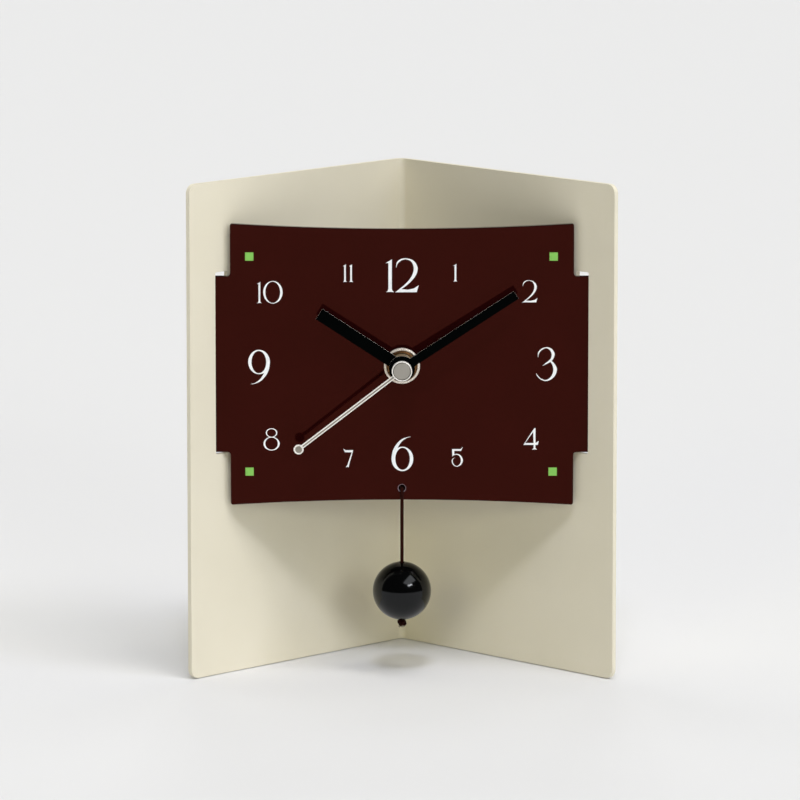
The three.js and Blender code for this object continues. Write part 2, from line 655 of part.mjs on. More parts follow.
// A pad with a dimple that touches the battery's end, and a tail that passes the wall to the circuit board
function contactPad(x, side) {
  const heights = [BATTERY_Z - PAD.height / 2, BATTERY_Z + PAD.height / 2];
  const pad = block([x, x + CONTACT], [caseY(PAD.front), caseY(TAIL_LAYER[1])], heights);
  const tail = block([x, x + CONTACT], TAIL_LAYER.map(caseY), [BATTERY_Z, CHAMBER_BOTTOM + TAIL.rise]);
  const middle = x + CONTACT / 2;
  const dimple = rod(PAD.dimple / 2, 0, Math.abs(middle) - BATTERY.length / 2 - FACE_GAP)
    .rotateZ(side * Math.PI / 2)
    .translate(middle, caseY(BATTERY_DEPTH), BATTERY_Z);
  return join(pad, tail, dimple);
}

function positiveContact() {
  const strip = block(
    [BOARD_EDGE + BOARD.width, POSITIVE_X + CONTACT / 2],
    TAIL_LAYER.map(caseY),
    [CHAMBER_BOTTOM + LOOSE_GAP, CHAMBER_BOTTOM + LOOSE_GAP + CONTACT],
  );
  return mesh('positive_contact', join(contactPad(POSITIVE_X, 1), strip), NICKEL);
}

function negativeContact() {
  const top = CHAMBER_BOTTOM + TAIL.rise;
  const foot = block([NEGATIVE_X, NEGATIVE_X + TAIL.foot], TAIL_LAYER.map(caseY), [top - CONTACT, top]);
  return mesh('negative_contact', join(contactPad(NEGATIVE_X, -1), foot), NICKEL);
}

// Circuit board

function circuitBoard() {
  const outline = roundedRectangle(
    BOARD_EDGE, BOARD_EDGE + BOARD.width, BOARD_BOTTOM, BOARD_BOTTOM + BOARD.height, BOARD.corner,
  );
  return mesh('circuit_board', inCase(outline, BOARD.layer, BOARD.layer + BOARD.thickness), BOARD_TAN);
}

const BOARD_BACK = BOARD.layer + BOARD.thickness + FACE_GAP;

function chip() {
  const z = BOARD_BOTTOM + CHIP.rise;
  const body = block(
    [BOARD_MIDDLE - CHIP.side / 2, BOARD_MIDDLE + CHIP.side / 2],
    [caseY(BOARD_BACK), caseY(BOARD_BACK + CHIP.thickness)],
    [z - CHIP.side / 2, z + CHIP.side / 2],
  );
  return mesh('chip', body, CASE_BLACK);
}

function quartzCrystal() {
  const radius = CRYSTAL.diameter / 2;
  const shoulder = CRYSTAL.length - CRYSTAL.bevel;
  const can = turned([
    [0, 0], [radius, 0], [radius, shoulder], [radius - CRYSTAL.bevel, CRYSTAL.length], [0, CRYSTAL.length],
  ], SMALL_ROUND);
  can.rotateX(Math.PI / 2).translate(BOARD_MIDDLE, caseY(BOARD_BACK + radius), BOARD_BOTTOM + CRYSTAL.rise);
  return mesh('quartz_crystal', can, STEEL);
}

// Gears

const pinionFace = (layer) => [layer - PINION_EXTRA, layer + WHEEL_FACE + PINION_EXTRA];
const wheelFace = (layer) => [layer, layer + WHEEL_FACE];

// A toothed wheel around 0, 0 between two depths of the case. phase is the angle of one tooth
function gear(teeth, module, [from, to], phase) {
  const pitchRadius = teeth * module / 2;
  const root = pitchRadius - DEDENDUM * module;
  const tip = pitchRadius + ADDENDUM * module;
  const step = 2 * Math.PI / teeth;
  const corners = [[root, -TOOTH_SHARE / 2], [tip, 0], [root, TOOTH_SHARE / 2]];
  const points = [];
  for (let i = 0; i < teeth; i += 1) {
    for (const [radius, share] of corners) {
      const angle = phase + step * (i + share);
      points.push(new THREE.Vector2(radius * Math.cos(angle), radius * Math.sin(angle)));
    }
  }
  return inCase(new THREE.Shape(points), from, to);
}

// The phase of a gear that meshes with another: a tooth of one faces a gap of the other.
// degrees is the direction from the first gear to the second
function meshPhase(firstPhase, firstTeeth, secondTeeth, degrees) {
  const line = THREE.MathUtils.degToRad(degrees);
  return line + Math.PI + Math.PI / secondTeeth - (firstPhase - line) * firstTeeth / secondTeeth;
}

const arbor = (from, to) => rod(ARBOR / 2, caseY(from), caseY(to), TINY_ROUND);
const ARBOR_FRONT = CASE_WALL / 2 + LOOSE_GAP;
const ARBOR_BACK = BRIDGE_BACK + LOOSE_GAP;

function secondsWheel() {
  const shaftFront = -SECOND_HAND.front + HAND_SHEET + FACE_GAP;
  const whole = join(
    gear(SECONDS_TEETH.wheel, TRAIN_MODULE, wheelFace(LAYER.seconds), 0),
    gear(SECONDS_TEETH.pinion, TRAIN_MODULE, pinionFace(LAYER.third), 0),
    rod(SECOND_SHAFT / 2, shaftFront, caseY(LAYER.seconds), SMALL_ROUND),
    arbor(LAYER.third, ARBOR_BACK),
  );
  return mesh('seconds_wheel', whole, WHEEL_WHITE);
}

const THIRD_PHASE = meshPhase(0, SECONDS_TEETH.pinion, THIRD_TEETH.wheel, DIRECTION.third);

function thirdWheel() {
  const whole = join(
    gear(THIRD_TEETH.wheel, TRAIN_MODULE, wheelFace(LAYER.third), THIRD_PHASE),
    gear(THIRD_TEETH.pinion, CENTRE_MODULE, pinionFace(LAYER.centre), 0),
    arbor(ARBOR_FRONT, ARBOR_BACK),
  );
  return mesh('third_wheel', whole, WHEEL_WHITE, THIRD_AT);
}

// The centre wheel turns once an hour. Its long tube carries the minute hand
function centreWheel() {
  const phase = meshPhase(0, THIRD_TEETH.pinion, CENTRE_TEETH.wheel, DIRECTION.third + 180);
  const tubeFront = -MINUTE_HAND.front - HAND_SHEET;
  const whole = join(
    gear(CENTRE_TEETH.wheel, CENTRE_MODULE, wheelFace(LAYER.centre), phase),
    gear(CENTRE_TEETH.pinion, MINUTE_MODULE, pinionFace(LAYER.motion), 0),
    rod(MINUTE_TUBE / 2, tubeFront, caseY(LAYER.centre), ROUND),
  );
  const bore = rod(SECOND_SHAFT / 2 + RUNNING_GAP, tubeFront - OVERCUT, caseY(LAYER.third), SMALL_ROUND);
  return mesh('centre_wheel', cut(whole, bore), WHEEL_AMBER);
}

const MINUTE_PHASE = meshPhase(0, CENTRE_TEETH.pinion, MINUTE_TEETH.wheel, DIRECTION.minute);

function minuteWheel() {
  const whole = join(
    gear(MINUTE_TEETH.wheel, MINUTE_MODULE, wheelFace(LAYER.motion), MINUTE_PHASE),
    gear(MINUTE_TEETH.pinion, HOUR_MODULE, [LAYER.hour - PINION_EXTRA, LAYER.motion], 0),
  );
  const bore = rod(STUD_RADIUS + RUNNING_GAP, caseY(0), caseY(LAYER.centre), TINY_ROUND);
  return mesh('minute_wheel', cut(whole, bore), WHEEL_WHITE, MINUTE_AT);
}

// The hour wheel turns once in twelve hours. Its tube carries the hour hand
function hourWheel() {
  const phase = meshPhase(0, MINUTE_TEETH.pinion, HOUR_TEETH, DIRECTION.minute + 180);
  const tubeFront = -HOUR_HAND.front - HAND_SHEET;
  const whole = join(
    gear(HOUR_TEETH, HOUR_MODULE, wheelFace(LAYER.hour), phase),
    rod(HOUR_TUBE / 2, tubeFront, caseY(LAYER.hour + WHEEL_FACE / 2), ROUND),
  );
  const bore = rod(MINUTE_TUBE / 2 + RUNNING_GAP, tubeFront - OVERCUT, caseY(LAYER.motion), ROUND);
  return mesh('hour_wheel', cut(whole, bore), WHEEL_AMBER);
}

function intermediateWheel() {
  const phase = meshPhase(0, SECONDS_TEETH.wheel, INTERMEDIATE_TEETH.pinion, DIRECTION.intermediate);
  const whole = join(
    gear(INTERMEDIATE_TEETH.wheel, ROTOR_MODULE, wheelFace(LAYER.intermediate), 0),
    gear(INTERMEDIATE_TEETH.pinion, TRAIN_MODULE, pinionFace(LAYER.seconds), phase),
    arbor(ARBOR_FRONT, ARBOR_BACK),
  );
  return mesh('intermediate_wheel', whole, WHEEL_WHITE, INTERMEDIATE_AT);
}

// Motor

const MAGNET_BACK = LAYER.intermediate - PINION_EXTRA - FACE_GAP;
const STATOR_CORNER = 0.5;
const STATOR_BACK = MAGNET_BACK - MAGNET.thickness / 2 + STATOR.thickness / 2;
const CORE_FRONT = STATOR_BACK + FACE_GAP;
const COIL_DEPTH = CORE_FRONT + CORE.thickness / 2;
const COIL_Z = CHAMBER_TOP - COIL.flange / 2 - 1;

function rotor() {
  const phase = meshPhase(0, INTERMEDIATE_TEETH.wheel, ROTOR_TEETH, DIRECTION.rotor);
  const whole = join(
    gear(ROTOR_TEETH, ROTOR_MODULE, pinionFace(LAYER.intermediate), phase),
    arbor(ARBOR_FRONT, ARBOR_BACK),
  );
  return mesh('rotor', whole, WHEEL_AMBER, ROTOR_AT);
}

function rotorMagnet() {
  const ring = tube(
    MAGNET.diameter / 2, ARBOR / 2 + FACE_GAP, caseY(MAGNET_BACK - MAGNET.thickness), caseY(MAGNET_BACK),
    SMALL_ROUND,
  );
  return mesh('rotor_magnet', ring, MAGNET_GREY, ROTOR_AT);
}

// A plate around the rotor with two arms that reach the ends of the coil's core
function statorPlate() {
  const reach = CORE.length / 2;
  const inside = reach - STATOR.arm;
  const half = STATOR.footWidth / 2;
  const shoulder = COIL_Z - COIL.flange / 2;
  const waist = shoulder - LOOSE_GAP;
  const top = COIL_Z + CORE.width;
  const foot = ROTOR_AT.y - STATOR.bore / 2 - STATOR.rim;
  const outline = roundedOutline([
    [-half, foot], [half, foot], [reach, shoulder], [reach, top], [inside, top], [inside, waist],
    [-inside, waist], [-inside, top], [-reach, top], [-reach, shoulder],
  ].map(([x, z]) => [x, z, STATOR_CORNER]));
  outline.holes.push(circle(0, ROTOR_AT.y, STATOR.bore / 2));
  const flat = inCase(outline, STATOR_BACK - STATOR.thickness, STATOR_BACK);
  return mesh('stator_plate', flat.translate(ROTOR_AT.x, 0, 0), STEEL);
}

// Lays a piece turned about Y along X, at the coil's place
function alongCoil(geometry) {
  return geometry.rotateZ(-Math.PI / 2).translate(ROTOR_AT.x, caseY(COIL_DEPTH), COIL_Z);
}

function coilBobbin() {
  const half = COIL.length / 2;
  const flange = COIL.flange / 2;
  const hub = COIL.tube / 2;
  const bore = COIL.bore / 2;
  const profile = [
    [bore, -half], [flange, -half], [flange, -half + COIL.cheek], [hub, -half + COIL.cheek],
    [hub, half - COIL.cheek], [flange, half - COIL.cheek], [flange, half], [bore, half], [bore, -half],
  ];
  return mesh('coil_bobbin', alongCoil(turned(profile, SMALL_ROUND)), WHEEL_WHITE);
}

function coilWinding() {
  const half = COIL.length / 2 - COIL.cheek - FACE_GAP;
  const wound = tube(COIL.winding / 2, COIL.tube / 2 + FACE_GAP, -half, half, SMALL_ROUND);
  return mesh('coil_winding', alongCoil(wound), COPPER);
}

function coilCore() {
  const half = CORE.length / 2;
  const bar = block(
    [ROTOR_AT.x - half, ROTOR_AT.x + half],
    [caseY(CORE_FRONT), caseY(CORE_FRONT + CORE.thickness)],
    [COIL_Z - CORE.width / 2, COIL_Z + CORE.width / 2],
  );
  return mesh('coil_core', bar, STEEL);
}

// Setting knob: a fluted disc behind the cover, its stem and the gear at the front end
function settingKnob() {
  const phase = meshPhase(MINUTE_PHASE, MINUTE_TEETH.wheel, KNOB_TEETH, DIRECTION.knob);
  const points = [];
  for (let i = 0; i < 2 * KNOB.flutes; i += 1) {
    const radius = KNOB.diameter / 2 - (i % 2) * KNOB.fluteDepth;
    const angle = Math.PI * i / KNOB.flutes;
    points.push(new THREE.Vector2(radius * Math.cos(angle), radius * Math.sin(angle)));
  }
  const discFront = CASE_DEPTH + LOOSE_GAP;
  const whole = join(
    gear(KNOB_TEETH, MINUTE_MODULE, pinionFace(LAYER.motion), phase),
    rod(KNOB.stem / 2, caseY(CASE_WALL + LOOSE_GAP), caseY(discFront + KNOB.thickness / 2)),
    inCase(new THREE.Shape(points), discFront, discFront + KNOB.thickness),
  );
  return mesh('setting_knob', whole, CASE_BLACK, KNOB_AT);
}

// Pendulum

const CORD_RADIUS = CORD_DIAMETER / 2;
const CORD_Y = -LOOSE_GAP - CORD_RADIUS; // the hanging cord just clears the dial face
const HOLE_Z = -CORD_HOLE_DROP;
const BALL_Z = HOLE_Z - BALL_DROP;
const KNOT_TOP = BALL_Z - BALL_DIAMETER / 2 - LOOSE_GAP;

// The stretch of the cord that passes through the dial's hole
function cordBight() {
  const back = DIAL_BACK + LOOSE_GAP;
  const bight = rod(CORD_RADIUS, CORD_Y - CORD_RADIUS, back, TINY_ROUND);
  return mesh('cord_bight', bight.translate(0, 0, HOLE_Z), CORD_BROWN);
}

function lump(radius, length) {
  const profile = [[0, 0]];
  for (const share of [0.12, 0.35, 0.65, 0.88]) {
    profile.push([radius * Math.sqrt(1 - (2 * share - 1) ** 2), length * share]);
  }
  profile.push([0, length]);
  return turned(profile, TINY_ROUND);
}

// The knot behind the dial that keeps the cord from pulling through
function rearKnot() {
  const knot = lump(REAR_KNOT.diameter / 2, REAR_KNOT.depth);
  return mesh('rear_knot', knot.translate(0, DIAL_BACK + 2 * LOOSE_GAP, HOLE_Z), CORD_BROWN);
}

function pendulumCord() {
  const top = new THREE.Vector3(0, CORD_Y, HOLE_Z - CORD_RADIUS - LOOSE_GAP);
  const bottom = new THREE.Vector3(0, CORD_Y, KNOT_TOP + FACE_GAP);
  const section = new THREE.Shape();
  section.absarc(0, 0, CORD_RADIUS, 0, 2 * Math.PI);
  const options = { steps: 14, curveSegments: 4, extrudePath: new THREE.LineCurve3(top, bottom) };
  return mesh('pendulum_cord', new THREE.ExtrudeGeometry(section, options), CORD_BROWN);
}

function ball() {
  const sphere = new THREE.SphereGeometry(BALL_DIAMETER / 2, ROUND, ROUND / 2).rotateX(Math.PI / 2);
  const bore = rod(BALL_BORE / 2, -BALL_DIAMETER, BALL_DIAMETER, SMALL_ROUND).rotateX(Math.PI / 2);
  return mesh('ball', cut(sphere, bore).translate(0, CORD_Y, BALL_Z), BALL_BLACK);
}

// The knot under the ball, with its short tail
function lowerKnot() {
  const knot = lump(LOWER_KNOT.diameter / 2, LOWER_KNOT.height).rotateX(-Math.PI / 2);
  return mesh('lower_knot', knot.translate(0, CORD_Y, KNOT_TOP), CORD_BROWN);
}

const dialAssembly = new THREE.Group();
dialAssembly.position.set(0, DIAL_FACE_Y, DIAL_HEIGHT_ABOVE_GROUND);
dialAssembly.add(
  dialPlate(), rubberWasher(), metalWasher(), fixingNut(),
  barHand('hour_hand', HOUR_HAND, HOUR_TUBE), barHand('minute_hand', MINUTE_HAND, MINUTE_TUBE),
  secondHand(), secondHandCap(),
  movementCase(), movementCover(), trainBridge(),
  battery(), positiveContact(), negativeContact(),
  circuitBoard(), chip(), quartzCrystal(),
  secondsWheel(), thirdWheel(), centreWheel(), minuteWheel(), hourWheel(), intermediateWheel(),
  rotor(), rotorMagnet(), statorPlate(), coilBobbin(), coilWinding(), coilCore(), settingKnob(),
  cordBight(), rearKnot(), pendulumCord(), ball(), lowerKnot(),
);

const clock = new THREE.Group();
clock.add(stand(), dialAssembly);

export default clock;
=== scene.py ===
"""The looks of a desk clock: a cream sheet stand, a dark red dial, a quartz movement and a hanging ball."""

import math
import random

import bmesh
import bpy
from bpy.props import FloatProperty, FloatVectorProperty, IntProperty, PointerProperty
from mathutils import Matrix, Vector
from mathutils.geometry import intersect_line_line, intersect_line_line_2d


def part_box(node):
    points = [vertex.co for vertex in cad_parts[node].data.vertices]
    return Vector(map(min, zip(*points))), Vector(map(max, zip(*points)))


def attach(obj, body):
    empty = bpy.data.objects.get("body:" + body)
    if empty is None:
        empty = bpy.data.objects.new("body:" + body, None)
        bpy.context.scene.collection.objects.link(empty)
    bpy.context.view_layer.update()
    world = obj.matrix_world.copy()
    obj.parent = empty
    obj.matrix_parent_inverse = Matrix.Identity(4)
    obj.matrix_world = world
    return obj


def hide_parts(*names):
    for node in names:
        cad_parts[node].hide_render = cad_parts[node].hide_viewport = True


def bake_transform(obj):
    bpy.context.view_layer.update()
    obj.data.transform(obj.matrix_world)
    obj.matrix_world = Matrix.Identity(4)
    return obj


bl_info = {
    "name": "Desk clock with a hanging ball",
    "version": (1, 0, 0),
    "blender": (4, 5, 0),
    "location": "View3D > Sidebar > Clock",
    "description": "Dresses the solids of a desk clock with its visible pieces and materials",
    "category": "Object",
}

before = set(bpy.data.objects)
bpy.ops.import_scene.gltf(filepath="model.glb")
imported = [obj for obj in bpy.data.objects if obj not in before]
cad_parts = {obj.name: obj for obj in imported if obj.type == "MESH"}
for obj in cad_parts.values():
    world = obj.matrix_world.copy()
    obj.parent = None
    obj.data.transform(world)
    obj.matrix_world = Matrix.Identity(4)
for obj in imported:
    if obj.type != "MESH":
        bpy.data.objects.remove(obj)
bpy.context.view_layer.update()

MM = 0.001
COAT = "coat_"  # begins the name of each material made here
SHARP = 30  # degrees; faces that turn by more meet in an edge, which is shown sharp or rounded
FLAT = 0.4  # degrees; faces of a solid's mesh that turn by less are joined into one
STRANDS = 3  # of the cord
STRAND_GROOVE = 0.16  # depth of the grooves between the strands, as a share of the cord's radius

# Corners closer together than this, in metres, become one
SOLID_MERGE = 1e-6  # in a solid's mesh
FINE_MERGE = 1e-7  # in a mesh made here
NO_LENGTH = 1e-8  # an edge this short is taken away

# Roundings of edges that the panel doesn't show
STAND_EDGE = 0.18 * MM
WASHER_EDGE = 0.08 * MM
NUT_EDGE = 0.07 * MM
COVER_EDGE = 0.15 * MM
KNOB_EDGE = 0.08 * MM


def length(name, millimetres, description):
    """A length that the panel shows, kept in metres."""
    return FloatProperty(
        name=name, description=description, default=millimetres * MM, unit="LENGTH", precision=5
    )


def angle(name, degrees, description):
    """An angle that the panel shows, kept in radians."""
    return FloatProperty(
        name=name, description=description, default=math.radians(degrees), subtype="ANGLE"
    )


def amount(name, default, description):
    """A number without a unit."""
    return FloatProperty(name=name, description=description, default=default)


def power(name, watts, description):
    """The power of a light."""
    return FloatProperty(name=name, description=description, default=watts, unit="POWER")


def linear(red, green, blue):
    """A colour given in screen values from 0 to 255, as the light values that shading works in."""
    return tuple(
        v / 12.92 if v <= 0.04045 else ((v + 0.055) / 1.055) ** 2.4
        for v in (red / 255, green / 255, blue / 255)
    )


def colour(name, screen, description):
    """A colour that the panel shows."""
    return FloatVectorProperty(
        name=name, description=description, default=linear(*screen), subtype="COLOR", size=3, min=0, max=1
    )


class ClockDial(bpy.types.PropertyGroup):
    """Sizes of the dial, its print and the fastening in its middle."""

    face: length("Face", -22.036, "Y of the dial's face")
    axis: length("Axis", 101, "Height of the hands' shaft")
    edge: length("Edge rounding", 0.25, "Rounding of the plate's edges")
    print_relief: length("Print relief", 0.03, "How far the print stands in front of the plate")
    square: length("Square", 2.66, "Side of a printed corner square")
    bushing: length("Bushing", 7.8, "Outer diameter of the threaded bushing")
    washer: length("Washer", 10.2, "Outer diameter of the metal washer")
    washer_back: length("Washer back", -0.05, "Y of the washer's back, from the dial's face")
    washer_thickness: length("Washer thickness", 0.4, "Thickness of the metal washer")
    nut: length("Nut", 11.55, "Outer diameter of the fixing nut's flange")
    nut_back: length("Nut back", -0.5, "Y of the nut's back, from the dial's face")
    nut_front: length("Nut front", -4, "Y of the nut's front, from the dial's face")
    nut_body: length("Nut body", 10.2, "Outer diameter of the nut behind its flange")
    nut_flange: length("Nut flange", 0.9, "Thickness of the nut's flange")
    nut_bevel: length("Nut bevel", 0.3, "Bevel of the flange's rim")
    nut_dish: length("Nut dish", 9.7, "Diameter of the hollow in the nut's face")
    nut_dish_depth: length("Nut dish depth", 0.5, "Depth of that hollow at the bore")
    nut_bore: length("Nut bore", 8.2, "Bore of the nut and the washer")


class ClockHands(bpy.types.PropertyGroup):
    """Sizes of the three hands and the cap."""

    sheet: length("Sheet", 0.4, "Thickness of a hand")
    rounding: length("Rounding", 0.07, "Rounding of a hand's edges")
    boss: length("Boss", 1.2, "Depth of the boss behind a hub")
    hour_front: length("Hour hand front", -7, "Y of the hour hand's face, from the dial's face")
    hour_length: length("Hour hand length", 31.5, "Shaft to tip")
    hour_width: length("Hour hand width", 3.95, "Width of the bar")
    hour_hub: length("Hour hand hub", 7, "Diameter of its hub")
    hour_lean: amount("Hour hand lean", 0.04, "Slope of the bar towards the dial")
    hour_bore: length("Hour hand bore", 5.1, "Diameter of its hole")
    hour_turn: angle("Hour hand turn", 302.9, "Clockwise from twelve")
    minute_front: length("Minute hand front", -9.7, "Y of the minute hand's face, from the dial's face")
    minute_length: length("Minute hand length", 43.3, "Shaft to tip")
    minute_width: length("Minute hand width", 2.9, "Width of the bar")
    minute_hub: length("Minute hand hub", 8.3, "Diameter of its hub")
    minute_lean: amount("Minute hand lean", 0.076, "Slope of the bar towards the dial")
    minute_bore: length("Minute hand bore", 3.2, "Diameter of its hole")
    minute_turn: angle("Minute hand turn", 57.3, "Clockwise from twelve")
    second_front: length("Second hand front", -13.8, "Y of the second hand's face, from the dial's face")
    second_length: length("Second hand length", 41.8, "Shaft to the middle of the tip disc")
    second_width: length("Second hand width", 1.22, "Width of the bar")
    second_tip: length("Second hand tip", 3.2, "Diameter of the tip disc")
    second_lean: amount("Second hand lean", 0.05, "Slope of the bar towards the dial")
    second_rounding: length("Second hand rounding", 0.19, "Rounding of its edges")
    second_turn: angle("Second hand turn", 232.05, "Clockwise from twelve")
    shaft: length("Second hand shaft", 1.2, "Diameter of the hole in the cap's socket")
    cap: length("Cap", 6.5, "Diameter of the cap")
    cap_front: length("Cap front", -15, "Y of the cap's rim, from the dial's face")
    cap_back: length("Cap back", -13.85, "Y of the cap's back, from the dial's face")
    cap_rim: length("Cap rim", 0.43, "Width of the cap's rounded rim")
    cap_groove: length("Cap groove", 0.22, "Width of the groove inside the rim")
    cap_dish: length("Cap dish", 0.2, "How far the cap's middle lies behind its rim")
    socket: length("Socket", 2.4, "Outer diameter of the cap's socket")
    socket_back: length("Socket back", -12, "Y of the socket's end, from the dial's face")


class ClockPendulum(bpy.types.PropertyGroup):
    """Sizes of the cord, the ball and the knots."""

    cord: length("Cord", 1.15, "Diameter of the cord")
    pitch: length("Pitch", 2.6, "Length of one turn of the cord's strands")
    hang: length("Hanging line", -22.911, "Y of the hanging cord")
    hole: length("Hole", 60.7, "Height of the hole's middle")
    hole_rim: length("Hole rim", 2.8, "Width of the bevelled rim of the hole")
    sag: length("Sag", 0.3, "How far the cord lies below the hole's middle at the dial's face")
    back_end: length("Back end", -19.5, "Y where the cord meets the knot behind the dial")
    low_end: length("Low end", 17.5, "Height where the cord meets the knot under the ball")
    ball: length("Ball", 18.8, "Diameter of the ball")
    ball_height: length("Ball height", 27.4, "Height of the ball's middle")
    bore: length("Bore", 1.8, "Diameter of the ball's bore")
    bore_rim: length("Bore rim", 0.25, "Rounding of the bore's rims")
    knot: length("Knot", 3.2, "Width of the knot under the ball")
    knot_height: length("Knot height", 16.9, "Height of the lower knot's middle")
    fray_end: length("Fray", 15.3, "Height of the lowest frayed fibre")
    fibres: IntProperty(name="Fibres", description="Frayed fibres under the ball", default=46)
    rear_knot: length("Rear knot", 3.4, "Width of the knot behind the dial")
    rear_knot_y: length("Rear knot place", -18.15, "Y of the rear knot's middle")


class ClockMovement(bpy.types.PropertyGroup):
    """Sizes of the movement's visible pieces."""

    edge: length("Edge rounding", 0.3, "Rounding of the case's edges")
    battery: length("Battery", 14.2, "Diameter of the battery")
    battery_length: length("Battery length", 50.5, "Its length with the nub")
    nub: length("Nub", 5.5, "Diameter of the positive nub")
    nub_length: length("Nub length", 1, "Length of the nub")
    crimp: length("Crimp", 1, "Rounding of the battery's ends")


class ClockStage(bpy.types.PropertyGroup):
    """The camera and the lights."""

    lens: length("Lens", 295.698, "Focal length")
    elevation: angle("Elevation", 9.338, "How far the camera looks down")
    camera_x: length("Camera X", -0.622, "Across")
    camera_y: length("Camera Y", -2099.4, "In front of the clock")
    camera_z: length("Camera Z", 430.98, "Above the ground")
    lamps: amount("Lamps", 0.97, "Strength of the soft lamps, all together")
    world: amount("Surroundings", 0.04, "Strength of the light from all round")
    floor_size: length("Floor", 60000, "Half the width of the floor")
    floor_gap: length("Floor gap", 0.25, "Height of the dark seam under the stand's edges")
    soft_power: power("Soft", 11, "Power of the mirrored soft panel")
    spot_power: power("Spot", 14, "Power of the mirrored spot")


class ClockColours(bpy.types.PropertyGroup):
    """Colours of the clock and the floor."""

    cream: colour("Cream", (229, 222, 202), "Paint of the stand")
    cream_shade: colour("Cream shade", (225, 218, 197), "Darker clouds in the paint")
    dial: colour("Dial", (33, 5, 5), "Lacquer of the dial")
    dial_sheen: colour("Dial sheen", (250, 128, 102), "Tint of the dial's reflection")
    bare: colour("Bare", (128, 112, 118), "Bevel round the cord's hole")
    white: colour("White", (238, 240, 242), "Printed numerals")
    green: colour("Green", (126, 190, 84), "Printed squares")
    black: colour("Black", (2, 3, 3), "Paint of the hour and minute hands")
    # Painted highlight: the near-white tint of the hands' cut edges stands in for the light line along them
    cut_edge_highlight: colour("Cut edge", (222, 214, 204), "Stamped edges of the hour and minute hands")
    satin: colour("Satin", (182, 177, 168), "Face of the cap")
    # Painted reflection: the darker grey of the second hand's face between its edges
    groove: colour("Groove", (160, 154, 142), "Face of the second hand between its edges")
    # Painted highlight: near-white on the second hand's edges and the cap's rim
    bright: colour("Bright", (250, 246, 240), "Highlighted edges of the second hand and the cap")
    nickel: colour("Nickel", (246, 236, 224), "Fixing nut and washer")
    # Painted reflection: the brown put in the nut's hollow
    painted_hollow: colour("Browned", (168, 138, 108), "Hollow of the fixing nut")
    bushing: colour("Bushing", (210, 185, 150), "Metal end of the movement's bushing")
    ball: colour("Ball", (2, 2, 2), "Lacquer of the ball")
    cord: colour("Cord", (30, 5, 2), "Thread of the cord")
    cord_light: colour("Cord light", (56, 20, 10), "Raised fibres of the cord")
    plastic: colour("Plastic", (26, 27, 28), "Moulded case of the movement")
    rubber: colour("Rubber", (20, 20, 21), "Rubber washer")
    wheel: colour("Wheel", (226, 224, 214), "White moulded wheels")
    amber: colour("Amber", (190, 140, 50), "Amber moulded wheels")
    steel: colour("Steel", (160, 163, 168), "Steel parts")
    contact: colour("Contact", (206, 200, 186), "Battery contacts")
    copper: colour("Copper", (196, 104, 58), "Coil winding")
    board: colour("Board", (154, 123, 69), "Circuit board")
    sleeve: colour("Sleeve", (44, 104, 66), "Battery sleeve")
    sleeve_end: colour("Sleeve end", (206, 170, 92), "Band at the battery's positive end")
    magnet: colour("Magnet", (84, 87, 90), "Rotor magnet")
    floor: colour("Floor", (226, 226, 226), "Floor and backdrop")


GROUPS = {
    "clock_dial": ClockDial,
    "clock_hands": ClockHands,
    "clock_pendulum": ClockPendulum,
    "clock_movement": ClockMovement,
    "clock_stage": ClockStage,
    "clock_colours": ClockColours,
}


# Materials

def shade(tint, share):
    """A colour made darker, or lighter by a share above 1."""
    return tuple(v * share for v in tint)


class Value:
    """A number in a material's nodes that sums, products and the like can be written with."""

    def __init__(self, coat, socket):
        self.coat = coat
        self.socket = socket

    def _with(self, operation, first, second, clamp=False):
        settings = {"operation": operation, "use_clamp": clamp}
        return Value(self.coat, self.coat.node("ShaderNodeMath", settings, {0: first, 1: second}).outputs[0])

    def __add__(self, other):
        return self._with("ADD", self, other)

    def __radd__(self, other):
        return self._with("ADD", other, self)

    def __sub__(self, other):
        return self._with("SUBTRACT", self, other)

    def __rsub__(self, other):
        return self._with("SUBTRACT", other, self)

    def __mul__(self, other):
        return self._with("MULTIPLY", self, other)

    def __rmul__(self, other):
        return self._with("MULTIPLY", other, self)

    def __truediv__(self, other):
        return self._with("DIVIDE", self, other)

    def above(self, limit):
        return self._with("GREATER_THAN", self, limit)

    def below(self, limit):
        return self._with("LESS_THAN", self, limit)

    def root(self):
        return self._with("SQRT", self, 0.0)

    def unsigned(self):
        return self._with("ABSOLUTE", self, 0.0)

    def sine(self):
        return self._with("SINE", self, 0.0)

    def spread(self, low, high):
        """0 at low, 1 at high, held outside."""
        return self._with("ADD", (self - low) / (high - low), 0.0, clamp=True)


